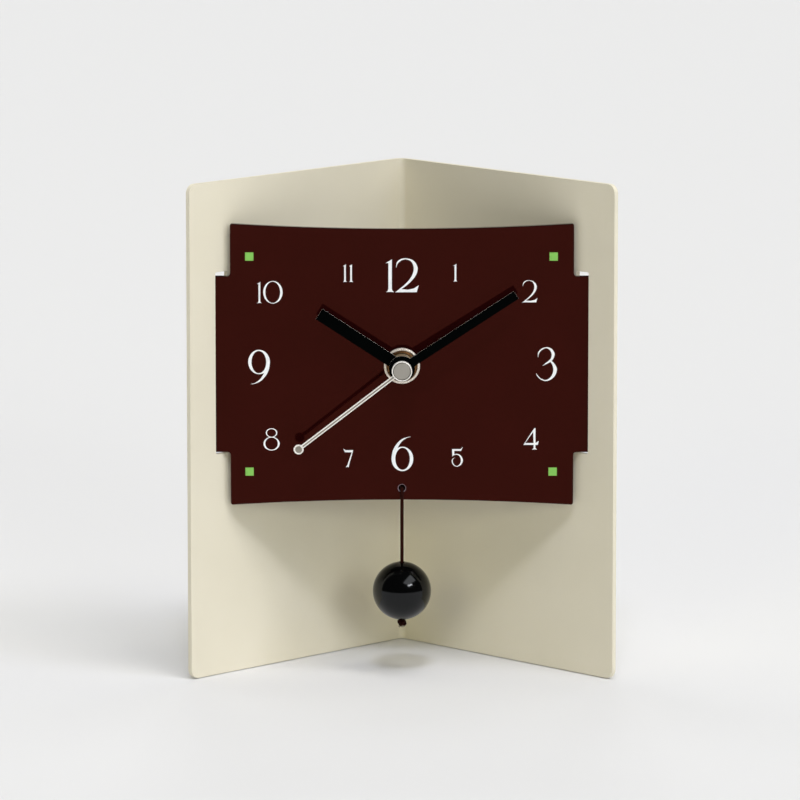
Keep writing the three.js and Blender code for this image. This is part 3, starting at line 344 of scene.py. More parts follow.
class Coat:
    """A material under construction, on the piece's own coordinates in metres."""

    def __init__(self, name, **constants):
        self.material = bpy.data.materials.new(COAT + name)
        self.material.use_nodes = True
        self.tree = self.material.node_tree
        self.tree.nodes.clear()
        self.shader = self.node("ShaderNodeBsdfPrincipled")
        output = self.node("ShaderNodeOutputMaterial")
        self.tree.links.new(self.shader.outputs[0], output.inputs["Surface"])
        for socket, value in constants.items():
            self.put(self.shader.inputs[socket.replace("_", " ")], value)
        self.place = self.node("ShaderNodeTexCoord").outputs["Object"]

    def put(self, socket, value):
        """Joins a socket to a node's output, or sets it."""
        if isinstance(value, Value):
            value = value.socket
        if isinstance(value, bpy.types.NodeSocket):
            self.tree.links.new(value, socket)
        elif socket.type == "RGBA":
            socket.default_value = (*value[:3], 1)
        else:
            socket.default_value = value

    def node(self, kind, settings=None, sockets=None):
        """A node of a type, with its settings first and then the values or links of its sockets."""
        made = self.tree.nodes.new(kind)
        for key, value in (settings or {}).items():
            setattr(made, key, value)
        for key, value in (sockets or {}).items():
            self.put(made.inputs[key], value)
        return made

    def stretched(self, x, y, z):
        """The piece's coordinates, stretched along its axes."""
        settings = {"operation": "MULTIPLY"}
        return self.node("ShaderNodeVectorMath", settings, {0: self.place, 1: (x, y, z)}).outputs[0]

    def axis(self, letter):
        """One of the piece's coordinates."""
        node = self.node("ShaderNodeSeparateXYZ", {}, {0: self.place})
        return Value(self, node.outputs[letter])

    def noise(self, grain, detail=2.0, rough=0.5, place=None):
        """Clouds from 0 to 1 whose blots are about grain metres wide."""
        sockets = {"Vector": place or self.place, "Scale": 1 / grain, "Detail": detail, "Roughness": rough}
        return Value(self, self.node("ShaderNodeTexNoise", {}, sockets).outputs["Fac"])

    def mix(self, factor, first, second):
        """The first colour where the factor is 0 and the second where it is 1."""
        node = self.node("ShaderNodeMix", {"data_type": "RGBA"})
        for index, value in ((0, factor), (6, first), (7, second)):
            self.put(node.inputs[index], value)
        return node.outputs[2]

    def clouded(self, grain, tint, share):
        """A colour with soft clouds of a darker one, about grain metres wide."""
        return self.mix(self.noise(grain, 3).spread(0.3, 0.7), tint, shade(tint, share))

    def marked(self, grain, rough):
        """Gives a metal its roughness and bump from fine marks, and returns the marks."""
        marks = self.noise(grain, 4, 0.6)
        self.roughness(marks * 0.16 + rough)
        self.bump(marks, 0.000004, 0.5)
        return marks

    def colour(self, value):
        self.put(self.shader.inputs["Base Color"], value)

    def roughness(self, value):
        self.put(self.shader.inputs["Roughness"], value)

    def metallic(self, value):
        self.put(self.shader.inputs["Metallic"], value)

    def bump(self, height, depth, strength=1.0):
        sockets = {"Height": height, "Distance": depth, "Strength": strength}
        self.put(self.shader.inputs["Normal"], self.node("ShaderNodeBump", {}, sockets).outputs[0])


def cream_paint(c):
    """Sprayed paint with a fine orange peel."""
    coat = Coat("cream_paint", IOR=1.46)
    peel = coat.noise(0.0011, 2)
    dust = coat.noise(0.0003, 1)
    coat.colour(coat.mix(coat.noise(0.035, 3).spread(0.3, 0.7), c.cream, c.cream_shade))
    coat.roughness(dust * 0.1 + 0.47)
    coat.bump(peel * 0.75 + dust * 0.25, 0.00003, 0.5)
    return coat.material


def dial_gloss(c, hole, rim):
    """Deep red lacquer with a faint flow in its surface, bare on the bevel round the cord's hole, and painted
    near-black inside that ring as the hole's shade.
    """
    coat = Coat("dial_gloss", IOR=1.37, Specular_Tint=c.dial_sheen)
    lacquer = coat.clouded(0.02, c.dial, 0.82)
    out = from_axis(coat, hole)
    ring_start, ring_end = rim / 2 - 0.28 * MM, rim / 2 - 0.04 * MM
    # Painted shade: inside the bare ring, the hole's wall is coloured near-black
    inside = coat.mix(out.above(ring_start), shade(c.bare, 0.1), c.bare)
    coat.colour(coat.mix(out.below(ring_end), lacquer, inside))
    smears = coat.noise(0.012, 4, 0.6)
    coat.roughness(smears.spread(0.45, 0.8) * 0.03 + 0.03)
    coat.bump(coat.noise(0.006, 2), 0.000002, 0.3)
    return coat.material


def print_ink(name, ink):
    """A thick screen print with a soft edge-to-edge unevenness."""
    coat = Coat(name, IOR=1.48)
    grain = coat.noise(0.00035, 2)
    coat.colour(coat.mix(coat.noise(0.0015, 2).spread(0.35, 0.75), ink, shade(ink, 0.9)))
    coat.roughness(grain * 0.15 + 0.35)
    coat.bump(grain, 0.00001, 0.4)
    return coat.material


def hand_black(c, name, sheet, axis, bar):
    """Deep matt black on stamped sheet whose cut edges, behind its face, carry a painted highlight: a
    near-white, slightly metallic tint.
    """
    front, hub, reach, turn, lean = bar
    coat = Coat(name, IOR=1.05)
    grain = coat.noise(0.00018, 2)
    along = coat.axis("X") * math.sin(turn) + (coat.axis("Z") - axis) * math.cos(turn)
    leaning = along.spread(hub / 2, reach) * (lean * (reach - hub / 2))
    depth = coat.axis("Y") - front - leaning
    cut = depth.above(0.2 * sheet) * depth.below(0.8 * sheet)
    paint = coat.mix(coat.noise(0.004, 2), c.black, shade(c.black, 1.4))
    # Painted highlight: the cut edges get the near-white tint
    coat.colour(coat.mix(cut, paint, c.cut_edge_highlight))
    coat.metallic(cut * 0.2)
    coat.roughness(grain * 0.14 + 0.4)
    coat.bump(grain, 0.000008, 0.5)
    return coat.material


def metal(name, tint, rough, grain=0.0006, along=(1, 1, 1), depth=0.000004):
    """A bare or plated metal with fine marks, drawn out along an axis where it was brushed."""
    coat = Coat(name, Metallic=1.0)
    marks = coat.noise(grain, 4, 0.6, coat.stretched(*along))
    blots = coat.noise(0.004, 2)
    coat.colour(coat.mix(blots.spread(0.3, 0.8), tint, shade(tint, 0.86)))
    coat.roughness(marks * 0.16 + blots * 0.06 + (rough - 0.1))
    coat.bump(marks, depth, 0.5)
    return coat.material


def from_axis(coat, height):
    """The distance from the line along Y at a height over X = 0."""
    x, z = coat.axis("X"), coat.axis("Z") - height
    return (x * x + z * z).root()


def hand_silver(c, dial, h):
    """Satin metal with a painted highlight, near-white and less metallic, along the hand's edges and round
    its tip, and a darker face between them as a painted reflection of dark surroundings.
    """
    coat = Coat("silver")
    turn = h.second_turn
    x, z = coat.axis("X"), coat.axis("Z") - dial.axis
    along = x * math.sin(turn) + z * math.cos(turn)
    across = (x * math.cos(turn) - z * math.sin(turn)).unsigned()
    past = along - h.second_length
    from_tip = (past * past + across * across).root()
    half, tip = h.second_width / 2, h.second_tip / 2
    disc = from_tip.below(tip + 0.02 * MM)
    bar_edge, disc_edge, blend = 0.32 * MM, 0.45 * MM, 0.1 * MM
    along_bar = across.spread(half - bar_edge - blend, half - bar_edge) * (1.0 - disc)
    round_disc = from_tip.spread(tip - disc_edge - blend, tip - disc_edge) * disc
    edge = along_bar + round_disc
    # Painted highlight on the edges and painted darker reflection on the face between them
    coat.colour(coat.mix(edge, c.groove, c.bright))
    coat.metallic(1.0 - edge * 0.7)
    coat.marked(0.0003, 0.28 - edge * 0.08)
    return coat.material


def cap_silver(c, dial, h):
    """Satin metal with a painted highlight on its rim and painted shade in the groove inside it."""
    coat = Coat("cap_silver")
    out = from_axis(coat, dial.axis)
    rim = h.cap / 2 - h.cap_rim
    # Painted highlight on the rim, and painted shade in the groove inside it
    bright = out.spread(rim - 0.02 * MM, rim + 0.06 * MM)
    groove = out.spread(rim - h.cap_groove, rim - 0.5 * h.cap_groove) * (1.0 - bright)
    face = coat.mix(groove, c.satin, shade(c.satin, 0.4))
    coat.colour(coat.mix(bright, face, c.bright))
    coat.metallic(1.0 - bright * 0.6)
    coat.marked(0.0003, 0.28 - bright * 0.08)
    return coat.material


def nut_nickel(c, dial):
    """Bright plated metal, painted brown in the hollow of the nut's face as a painted reflection, and half
    diffuse on the ring outside it, partly a painted highlight.
    """
    coat = Coat("nickel")
    hollow_end = dial.nut_dish / 2
    ring_of_light = from_axis(coat, dial.axis).spread(hollow_end + 0.1 * MM, hollow_end + 0.4 * MM)
    marks = coat.marked(0.0004, 0.2)
    # Painted reflection in the hollow; the near-white, half diffuse ring is partly a painted highlight
    hollow = coat.mix(marks.spread(0.35, 0.65), c.painted_hollow, shade(c.painted_hollow, 0.6))
    coat.colour(coat.mix(ring_of_light, hollow, c.nickel))
    coat.metallic(1.0 - ring_of_light * 0.5)
    return coat.material


def case_plastic(c, dial):
    """Moulded plastic, with a metal bushing in front of the dial."""
    coat = Coat("movement_case", IOR=1.5)
    pits = coat.noise(0.00045, 2)
    bushing = coat.axis("Y").below(dial.face)
    plastic = coat.clouded(0.008, c.plastic, 0.85)
    coat.colour(coat.mix(bushing, plastic, c.bushing))
    coat.metallic(bushing * 0.7)
    coat.roughness(pits * 0.16 + 0.44 - bushing * 0.16)
    coat.bump(pits, 0.00002, 0.45)
    return coat.material


def ball_gloss(c):
    """Black lacquer over a turned ball."""
    coat = Coat("ball_gloss", IOR=1.37, Specular_Tint=(0.93, 0.96, 1.0))
    coat.colour(coat.mix(coat.noise(0.003, 3), c.ball, shade(c.ball, 1.6)))
    coat.roughness(coat.noise(0.0015, 3).spread(0.5, 0.9) * 0.05 + 0.11)
    coat.bump(coat.noise(0.004, 1), 0.000003, 0.3)
    return coat.material


def cord_thread(c):
    """Dark thread with lighter raised fibres that run along it."""
    coat = Coat("cord", IOR=1.15, Sheen_Weight=0.02, Sheen_Roughness=0.5)
    fibres = coat.noise(0.00009, 3, 0.6, coat.stretched(1, 1, 0.25))
    coat.colour(coat.mix(fibres.spread(0.48, 0.72), c.cord, c.cord_light))
    coat.roughness(fibres * 0.2 + 0.7)
    coat.bump(fibres, 0.00006, 0.8)
    return coat.material


def moulded(name, tint, rough, grain=0.00045):
    """Moulded plastic with a spark-eroded texture and flow clouds."""
    coat = Coat(name, IOR=1.5)
    pits = coat.noise(grain, 2)
    coat.colour(coat.clouded(0.008, tint, 0.85))
    coat.roughness(pits * 0.16 + (rough - 0.06))
    coat.bump(pits, 0.00002, 0.45)
    return coat.material


def battery_sleeve(c):
    """A shrunk sleeve with a plain band at the positive end and bare steel at both ends."""
    coat = Coat("battery_sleeve", IOR=1.5)
    sleeve_end, band_start = 24.05 * MM, 15.5 * MM
    along = coat.axis("X")
    steel = along.unsigned().above(sleeve_end)
    band = along.above(band_start)
    smears = coat.noise(0.006, 3)
    sleeve = coat.mix(smears, c.sleeve, shade(c.sleeve, 0.8))
    wrapped = coat.mix(band, sleeve, c.sleeve_end)
    coat.colour(coat.mix(steel, wrapped, c.steel))
    coat.metallic(steel * 0.95 + band * 0.25)
    coat.roughness(smears * 0.12 + 0.24)
    coat.bump(coat.noise(0.0012, 2), 0.00001, 0.4)
    return coat.material


def copper_wire(c):
    """Fine enamelled wire wound side by side along X, painted darker between the turns as shade."""
    coat = Coat("copper", Metallic=1.0)
    wire = 0.12 * MM
    wires = (coat.axis("X") * (2 * math.pi / wire)).sine() * 0.5 + 0.5
    # Painted shade: darker between the turns of the winding
    coat.colour(coat.mix(wires, shade(c.copper, 0.55), c.copper))
    coat.roughness(coat.noise(0.001) * 0.1 + 0.25)
    coat.bump(wires, 0.00003, 0.7)
    return coat.material


def board_resin(c):
    """Paper and resin laminate with a faint weave."""
    coat = Coat("board", IOR=1.5)
    weave = coat.noise(0.0003, 2, 0.5, coat.stretched(1, 1, 0.3)) * 0.5
    cross = coat.noise(0.0003, 2, 0.5, coat.stretched(0.3, 1, 1)) * 0.5
    threads = weave + cross
    coat.colour(coat.mix(threads.spread(0.4, 0.6), c.board, shade(c.board, 0.75)))
    coat.roughness(threads * 0.2 + 0.45)
    coat.bump(threads, 0.00001, 0.5)
    return coat.material


def floor_paper(c):
    """A plain pale sweep with the slightest mottle."""
    coat = Coat("floor", IOR=1.3)
    clouds = coat.noise(0.4, 2)
    coat.colour(coat.mix(clouds, c.floor, shade(c.floor, 0.99)))
    coat.roughness(clouds * 0.05 + 0.75)
    coat.bump(coat.noise(0.002, 2), 0.00001, 0.2)
    return coat.material


def make_coats(c, dial, h, pendulum):
    """Every material, by the name of the record's slot that it belongs to."""
    hour = (dial.face + h.hour_front, h.hour_hub, h.hour_length, h.hour_turn, h.hour_lean)
    minute = (dial.face + h.minute_front, h.minute_hub, h.minute_length, h.minute_turn, h.minute_lean)
    return {
        "cream_paint": cream_paint(c),
        "dial_gloss": dial_gloss(c, pendulum.hole, pendulum.hole_rim),
        "white_ink": print_ink("white_ink", c.white),
        "green_ink": print_ink("green_ink", c.green),
        "rubber": moulded("rubber", c.rubber, 0.85, 0.0003),
        "nickel": nut_nickel(c, dial),
        "hour_hand_black": hand_black(c, "hour_hand_black", h.sheet, dial.axis, hour),
        "minute_hand_black": hand_black(c, "minute_hand_black", h.sheet, dial.axis, minute),
        "silver": hand_silver(c, dial, h),
        "cap_silver": cap_silver(c, dial, h),
        "case_black": moulded("case_black", c.plastic, 0.5),
        "movement_case": case_plastic(c, dial),
        "wheel_white": moulded("wheel_white", c.wheel, 0.4),
        "wheel_amber": moulded("wheel_amber", c.amber, 0.35),
        "battery_sleeve": battery_sleeve(c),
        "contact_metal": metal("contact_metal", c.contact, 0.35, 0.0005, (1, 1, 0.15)),
        "board": board_resin(c),
        "crystal_can": metal("crystal_can", c.steel, 0.25),
        "magnet": moulded("magnet", c.magnet, 0.4),
        "stator_steel": metal("stator_steel", c.steel, 0.4, 0.0006, (0.1, 1, 1)),
        "copper": copper_wire(c),
        "cord": cord_thread(c),
        "ball_gloss": ball_gloss(c),
        "floor": floor_paper(c),
    }


# Meshes

def to_mesh(bm, name, sharp=SHARP):
    """A mesh with outward faces, smooth but for the edges sharper than so many degrees."""
    bmesh.ops.recalc_face_normals(bm, faces=bm.faces)
    mesh = bpy.data.meshes.new(name)
    bm.to_mesh(mesh)
    bm.free()
    mesh.shade_smooth()
    mesh.set_sharp_from_angle(angle=math.radians(sharp))
    return mesh


def add_piece(name, mesh, body, slot, replaces=(), coat=None):
    """Shows a mesh as a piece that moves with a body, or with none."""
    shown = bpy.data.objects.new(name, mesh)
    bpy.context.scene.collection.objects.link(shown)
    mesh.materials.clear()
    mesh.materials.append(bpy.data.materials[COAT + (coat or slot)])
    if body:
        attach(shown, body)
    if replaces:
        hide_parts(*replaces)
    return shown


def round_edges(shown, width, segments=2):
    """Rounds a piece's edges and keeps its flat faces flat."""
    modifier = shown.modifiers.new("rounding", "BEVEL")
    modifier.width = width
    modifier.segments = segments
    modifier.limit_method = "ANGLE"
    modifier.angle_limit = math.radians(SHARP)
    modifier.harden_normals = True
    modifier.use_clamp_overlap = True


def softened(node, body, slot, width, segments=2, coat=None):
    """A copy of a solid's mesh, merged into whole faces, with rounded edges."""
    bm = bmesh.new()
    bm.from_mesh(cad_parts[node].data)
    bmesh.ops.remove_doubles(bm, verts=bm.verts, dist=SOLID_MERGE)
    bmesh.ops.dissolve_limit(
        bm, angle_limit=math.radians(FLAT), verts=bm.verts, edges=bm.edges, use_dissolve_boundaries=False
    )
    shown = add_piece(node + "_soft", to_mesh(bm, node + "_soft"), body, slot, (node,), coat)
    round_edges(shown, width, segments)


def lathe(profile, steps=96):
    """Spins a closed (radius, height) profile about the Z axis."""
    bm = bmesh.new()
    corners = [bm.verts.new((radius, 0, height)) for radius, height in profile]
    edges = [bm.edges.new((a, b)) for a, b in zip(corners, corners[1:] + corners[:1])]
    bmesh.ops.spin(
        bm, geom=corners + edges, cent=(0, 0, 0), axis=(0, 0, 1),
        angle=2 * math.pi, steps=steps, use_merge=True,
    )
    bmesh.ops.remove_doubles(bm, verts=bm.verts, dist=FINE_MERGE)
    bmesh.ops.dissolve_degenerate(bm, edges=bm.edges, dist=NO_LENGTH)
    return bm


def facing(x, y, z):
    """Turns a piece made about Z to face the viewer, its Z towards the front, and moves it."""
    return Matrix.Translation((x, y, z)) @ Matrix.Rotation(math.pi / 2, 4, "X")


def flat_mesh(outlines, thickness, rounding=0.0):
    """A flat sheet of closed (x, y) outlines, its holes among them, thick about Z = 0, with rounded edges."""
    curve = bpy.data.curves.new("outline", "CURVE")
    curve.dimensions = "2D"
    curve.fill_mode = "BOTH"
    curve.extrude = thickness / 2 - rounding
    curve.bevel_depth = rounding
    curve.bevel_resolution = 2
    curve.offset = -rounding
    for outline in outlines:
        spline = curve.splines.new("POLY")
        spline.points.add(len(outline) - 1)
        for point, (x, y) in zip(spline.points, outline):
            point.co = (x, y, 0, 1)
        spline.use_cyclic_u = True
    drawing = bpy.data.objects.new("outline", curve)
    mesh = bpy.data.meshes.new_from_object(drawing)
    bpy.data.objects.remove(drawing)
    bpy.data.curves.remove(curve)
    return mesh


def gather(bm, mesh, placed):
    """Adds a mesh to a growing one, in its place, and drops the original."""
    mesh.transform(placed)
    bm.from_mesh(mesh)
    bpy.data.meshes.remove(mesh)


def ring(x, y, wide, high, points=48):
    """An ellipse's outline."""
    turns = (2 * math.pi * i / points for i in range(points))
    return [(x + wide * math.cos(t), y + high * math.sin(t)) for t in turns]


def between(p, q, r, s, t):
    """The number at a share t of the way from q to r, on a smooth curve through all four."""
    square, cube = 2 * p - 5 * q + 4 * r - s, 3 * q - p - 3 * r + s
    return 0.5 * (2 * q + (r - p) * t + square * t ** 2 + cube * t ** 3)


def along_spline(points, steps):
    """Points on a smooth curve through the given ones, of any number of coordinates."""
    ends = [points[0]] + list(points) + [points[-1]]
    path = []
    for four in zip(ends, ends[1:], ends[2:], ends[3:]):
        for step in range(steps):
            path.append(tuple(between(*numbers, step / steps) for numbers in zip(*four)))
    path.append(tuple(points[-1]))
    return path


def neighbours(path):
    """For each point of a path, the points before and after it, or itself at an end."""
    return zip([path[0]] + path[:-1], path[1:] + [path[-1]])


def tube(bm, points, section, turn=0.0):
    """Sweeps a section of (radius, angle) points along a path.

    The turn is the twist from one path point to the next. A path point's fourth number scales the section.
    """
    places = [Vector(p[:3]) for p in points]
    tangents = [(after - before).normalized() for before, after in neighbours(places)]
    side = tangents[0].orthogonal().normalized()
    rings = []
    for i, (place, tangent) in enumerate(zip(places, tangents)):
        side = (side - tangent * side.dot(tangent)).normalized()
        other = tangent.cross(side)
        scale = points[i][3] if len(points[i]) > 3 else 1
        rings.append([
            bm.verts.new(
                place + scale * radius * (side * math.cos(at + turn * i) + other * math.sin(at + turn * i))
            )
            for radius, at in section
        ])
    for a, b in zip(rings, rings[1:]):
        for k in range(len(section)):
            after = (k + 1) % len(section)
            bm.faces.new((a[k], a[after], b[after], b[k]))
    bm.faces.new(rings[0])
    bm.faces.new(rings[-1])


def round_section(radius, points):
    """A section of a round thread."""
    return [(radius, 2 * math.pi * k / points) for k in range(points)]


def laid_section(radius, points):
    """A section of a cord laid from strands, with a groove between each two."""
    return [
        (reach * (1 - STRAND_GROOVE + STRAND_GROOVE * abs(math.cos(STRANDS * at / 2))), at)
        for reach, at in round_section(radius, points)
    ]


# Numerals, in hundredths of their height from their lower left corner.
# A stroke is a list of (x, z, half width) and a shape has straight edges.
# A ring is two ellipses, outside and inside, each with its middle and its radii.

ONE = {"shapes": [[[
    (0, 88), (20, 100), (22, 100), (22, 12), (24, 6), (29, 2), (28.5, 0), (15, 1), (1, 0), (1, 2), (6, 5),
    (8.5, 12), (8.5, 86), (2, 85.5),
]]]}
TWO = {
    "strokes": [[
        (4.5, 72, 1), (8.4, 86, 3.8), (20, 95.2, 3.7), (35.5, 97, 3.1), (51, 90.5, 4.9), (60.4, 73.5, 7.1),
        (58, 55.5, 6.8), (47, 37.5, 5.3), (31.5, 22, 4.3), (16, 10.2, 3.4), (2.5, 1.6, 1.6),
    ]],
    "shapes": [[[
        (0, 0), (2, 1.6), (10, 9), (19, 12.2), (38, 10.3), (55, 14), (66, 20.5), (72, 24.5), (65, 0),
    ]]],
}
THREE = {"strokes": [
    [
        (7.3, 69, 0.9), (8.6, 82, 3.1), (18, 92.6, 3.2), (31, 97.1, 2.8), (43.5, 92, 4.6), (50.3, 79.5, 5.7),
        (47.5, 66.5, 4.9), (39.5, 57.6, 4.2), (28.5, 50.8, 2.9), (20.5, 45.2, 1),
    ],
    [
        (38, 60.5, 2.4), (48.5, 53.5, 4.3), (56, 37.5, 6.5), (53, 20.5, 5.8), (43, 8.6, 4.2), (30, 3, 3),
        (15.5, 7.3, 2.7), (6, 16.4, 2.6), (1.8, 23.2, 1.8),
    ],
]}
FOUR = {"shapes": [[
    [
        (0, 22), (0.5, 24.5), (47, 97), (52, 100), (57, 100), (58, 96), (58, 36), (63, 38.5), (73, 45.5),
        (69, 24), (66, 21.6), (58, 21.6), (58, 11), (60, 8), (65, 5.5), (64, 0.5), (52, 1.5), (40.5, 0.5),
        (40, 5.5), (44.5, 8), (45.6, 11), (45.6, 21.6), (2, 21.6),
    ],
    [(14, 34), (45.6, 34), (45.6, 81)],
]]}
FIVE = {
    "strokes": [[
        (4.5, 52.5, 1.6), (14, 60, 3.4), (27, 63, 3.5), (43, 56.5, 4.7), (53, 35.5, 6.7), (48.5, 17.5, 5.5),
        (38, 7.2, 3.9), (27, 3.2, 3), (12.5, 11.5, 3.6), (5.2, 27, 4.1), (8, 39, 3.4), (18, 45.6, 0.8),
    ]],
    "shapes": [[[(3, 90), (45, 90), (50, 93), (58.5, 100), (49.5, 78), (17, 78), (17, 62.5), (4, 51.5)]]],
}
SIX = {
    "strokes": [[
        (55.7, 98.6, 0.9), (44, 96.2, 2.7), (29, 87.5, 4.4), (17.5, 73.5, 5.8), (10, 57.5, 6.6), (7, 40, 6.8),
    ]],
    "rings": [((32.4, 36.2, 32.4, 36.2), (33, 36.5, 18.9, 29.5))],
}
SEVEN = {"shapes": [[[
    (0, 100), (4.5, 100), (15, 93), (55.5, 93), (54, 86), (36, 22), (33, 9), (32.5, 1), (23.5, 4), (14, 0),
    (15, 7), (22, 17), (42.5, 78), (10.5, 78), (6, 86),
]]]}
EIGHT = {"rings": [
    ((37.4, 78, 27.1, 22), (37.2, 77.4, 16.6, 13.5)), ((37.2, 31.7, 37.2, 31.7), (37.2, 32.2, 23.8, 23.2)),
]}
ZERO = {"rings": [((43.5, 50, 43.5, 50), (43, 50, 28.4, 42))]}
WIDTH_OF_SIX = 64.8
GLYPHS = {
    "0": ZERO, "1": ONE, "2": TWO, "3": THREE, "4": FOUR, "5": FIVE, "6": SIX, "7": SEVEN, "8": EIGHT,
}

# Each digit on the dial, in millimetres: its left edge and base from the shaft, its height, and how far its
# edges are drawn in
DIGITS = (
    ("1", -5.43, 23.11, 10.95, 0.18), ("2", -2.36, 23.11, 11.25, 0.18), ("1", 16.19, 26.61, 5.95, 0.12),
    ("2", 38.25, 19.87, 7.4, 0.15), ("3", 42.76, -5.63, 11.3, 0.16), ("4", 38.79, -27.93, 7.3, 0.15),
    ("5", 15.79, -33.41, 6.6, 0.1), ("6", -3.54, -34.93, 11.5, 0.19), ("7", -18.99, -33.73, 6.4, 0.13),
    ("8", -44.62, -28.24, 7.65, 0.21), ("9", -49.41, -6.62, 11.5, 0.21), ("1", -46.66, 19.57, 7.3, 0.21),
    ("0", -44.55, 19.42, 7.7, 0.21), ("1", -19.09, 26.46, 5.95, 0.13), ("1", -17.14, 26.46, 5.95, 0.13),
)
SQUARES = ((-48.75, 34.8), (48.45, 34.8), (-48.9, -34.9), (48.35, -34.9))  # middles, from the shaft
NARROWING = 0.987  # of the digits' widths, as they were drawn
LAYER = 0.002 * MM  # how far each area of a digit stands in front of the one before
STROKE_STEPS = 6  # curve points for each point of a stroke

# The edge and the sunk ring of the second hand's tip disc, in millimetres in from its rim and behind its face
DISC_EDGE = ((0, 0.28), (0, 0.16), (0.08, 0.05), (0.22, 0), (0.36, 0.04), (0.45, 0.13))


def stroke_outline(stroke, inset):
    """The outline of a pen stroke whose width changes along it."""
    path = along_spline(stroke, STROKE_STEPS)
    left, right = [], []
    for (x, z, half), (before, after) in zip(path, neighbours(path)):
        run = Vector((after[0] - before[0], after[1] - before[1])).normalized()
        half = max(half - inset, 0.35 * half)
        left.append((x - run.y * half, z + run.x * half))
        right.append((x + run.y * half, z - run.x * half))
    return left + right[::-1]


def narrowed(outline, inset):
    """A straight-edged outline with its edges moved inwards, less where it is thin.

    An inset below 0 moves them outwards.
    """
    corners = [Vector((x, z, 0)) for x, z in outline]
    edges = list(zip(corners, corners[1:] + corners[:1]))
    way = 1 if sum(a.x * b.y - b.x * a.y for a, b in edges) > 0 else -1
    moved = []
    for a, b in edges:
        run = (b - a).normalized()
        inwards = Vector((-run.y, run.x, 0)) * way
        middle = (a + b) / 2
        across = [
            (hit - middle.to_2d()).length
            for c, d in edges if c is not a
            for hit in [intersect_line_line_2d(
                (middle + inwards * 0.01).to_2d(), (middle + inwards * 200).to_2d(), c.to_2d(), d.to_2d()
            )] if hit
        ]
        step = inwards * min([inset] + [0.3 * distance for distance in across])
        moved.append((a + step, b + step))
    shape = []
    for before, after, corner in zip(moved[-1:] + moved[:-1], moved, corners):
        met = intersect_line_line(*before, *after)
        point = met[0] if met and (met[0] - corner).length < 3 * abs(inset) else (before[1] + after[0]) / 2
        shape.append((point.x, point.y))
    return shape


def digit_outlines(digit, inset):
    """The separate filled areas of a digit, each a list of outlines, all drawn in by an inset."""
    if digit == "9":
        return [
            [[(WIDTH_OF_SIX - x, 100 - z) for x, z in outline] for outline in area]
            for area in digit_outlines("6", inset)
        ]
    glyph = GLYPHS[digit]
    areas = [
        [narrowed(outer, inset)] + [narrowed(hole, -inset) for hole in holes]
        for outer, *holes in glyph.get("shapes", [])
    ]
    areas += [[stroke_outline(stroke, inset)] for stroke in glyph.get("strokes", [])]
    for (x, z, wide, high), (hole_x, hole_z, hole_wide, hole_high) in glyph.get("rings", []):
        hole = ring(hole_x, hole_z, hole_wide + inset, hole_high + inset)
        areas.append([ring(x, z, wide - inset, high - inset), hole])
    return areas


# Operators

class ClockOperator:
    """What the clock's operators share."""

    bl_options = {"REGISTER", "UNDO"}


class CLOCK_OT_camera(ClockOperator, bpy.types.Operator):
    """Sets the camera that looks at the clock from the front and a little above"""

    bl_idname = "clock.camera"
    bl_label = "Camera"

    def execute(self, context):
        s = context.scene.clock_stage
        data = bpy.data.cameras.new("camera")
        data.sensor_width = 36
        data.lens = s.lens / MM
        data.clip_start = 0.05
        data.clip_end = 50
        camera = bpy.data.objects.new("camera", data)
        camera.location = (s.camera_x, s.camera_y, s.camera_z)
        camera.rotation_euler = (math.pi / 2 - s.elevation, 0, 0)
        context.scene.collection.objects.link(camera)
        context.scene.camera = camera
        return {"FINISHED"}


# Solids whose own shape is shown, by their material
STAYING = {
    "rubber": ("rubber_washer",),
    "wheel_white": (
        "train_bridge", "seconds_wheel", "third_wheel", "intermediate_wheel", "rotor", "coil_bobbin",
    ),
    "wheel_amber": ("centre_wheel", "minute_wheel", "hour_wheel"),
    "contact_metal": ("positive_contact", "negative_contact"),
    "board": ("circuit_board",),
    "case_black": ("chip",),
    "crystal_can": ("quartz_crystal",),
    "magnet": ("rotor_magnet",),
    "stator_steel": ("stator_plate", "coil_core"),
    "copper": ("coil_winding",),
}


class CLOCK_OT_materials(ClockOperator, bpy.types.Operator):
    """Makes the materials and gives each solid that stays the one of its slot"""

    bl_idname = "clock.materials"
    bl_label = "Materials"

    def execute(self, context):
        scene = context.scene
        coats = make_coats(scene.clock_colours, scene.clock_dial, scene.clock_hands, scene.clock_pendulum)
        for slot, nodes in STAYING.items():
            for node in nodes:
                for material_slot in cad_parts[node].material_slots:
                    material_slot.material = coats[slot]
        return {"FINISHED"}


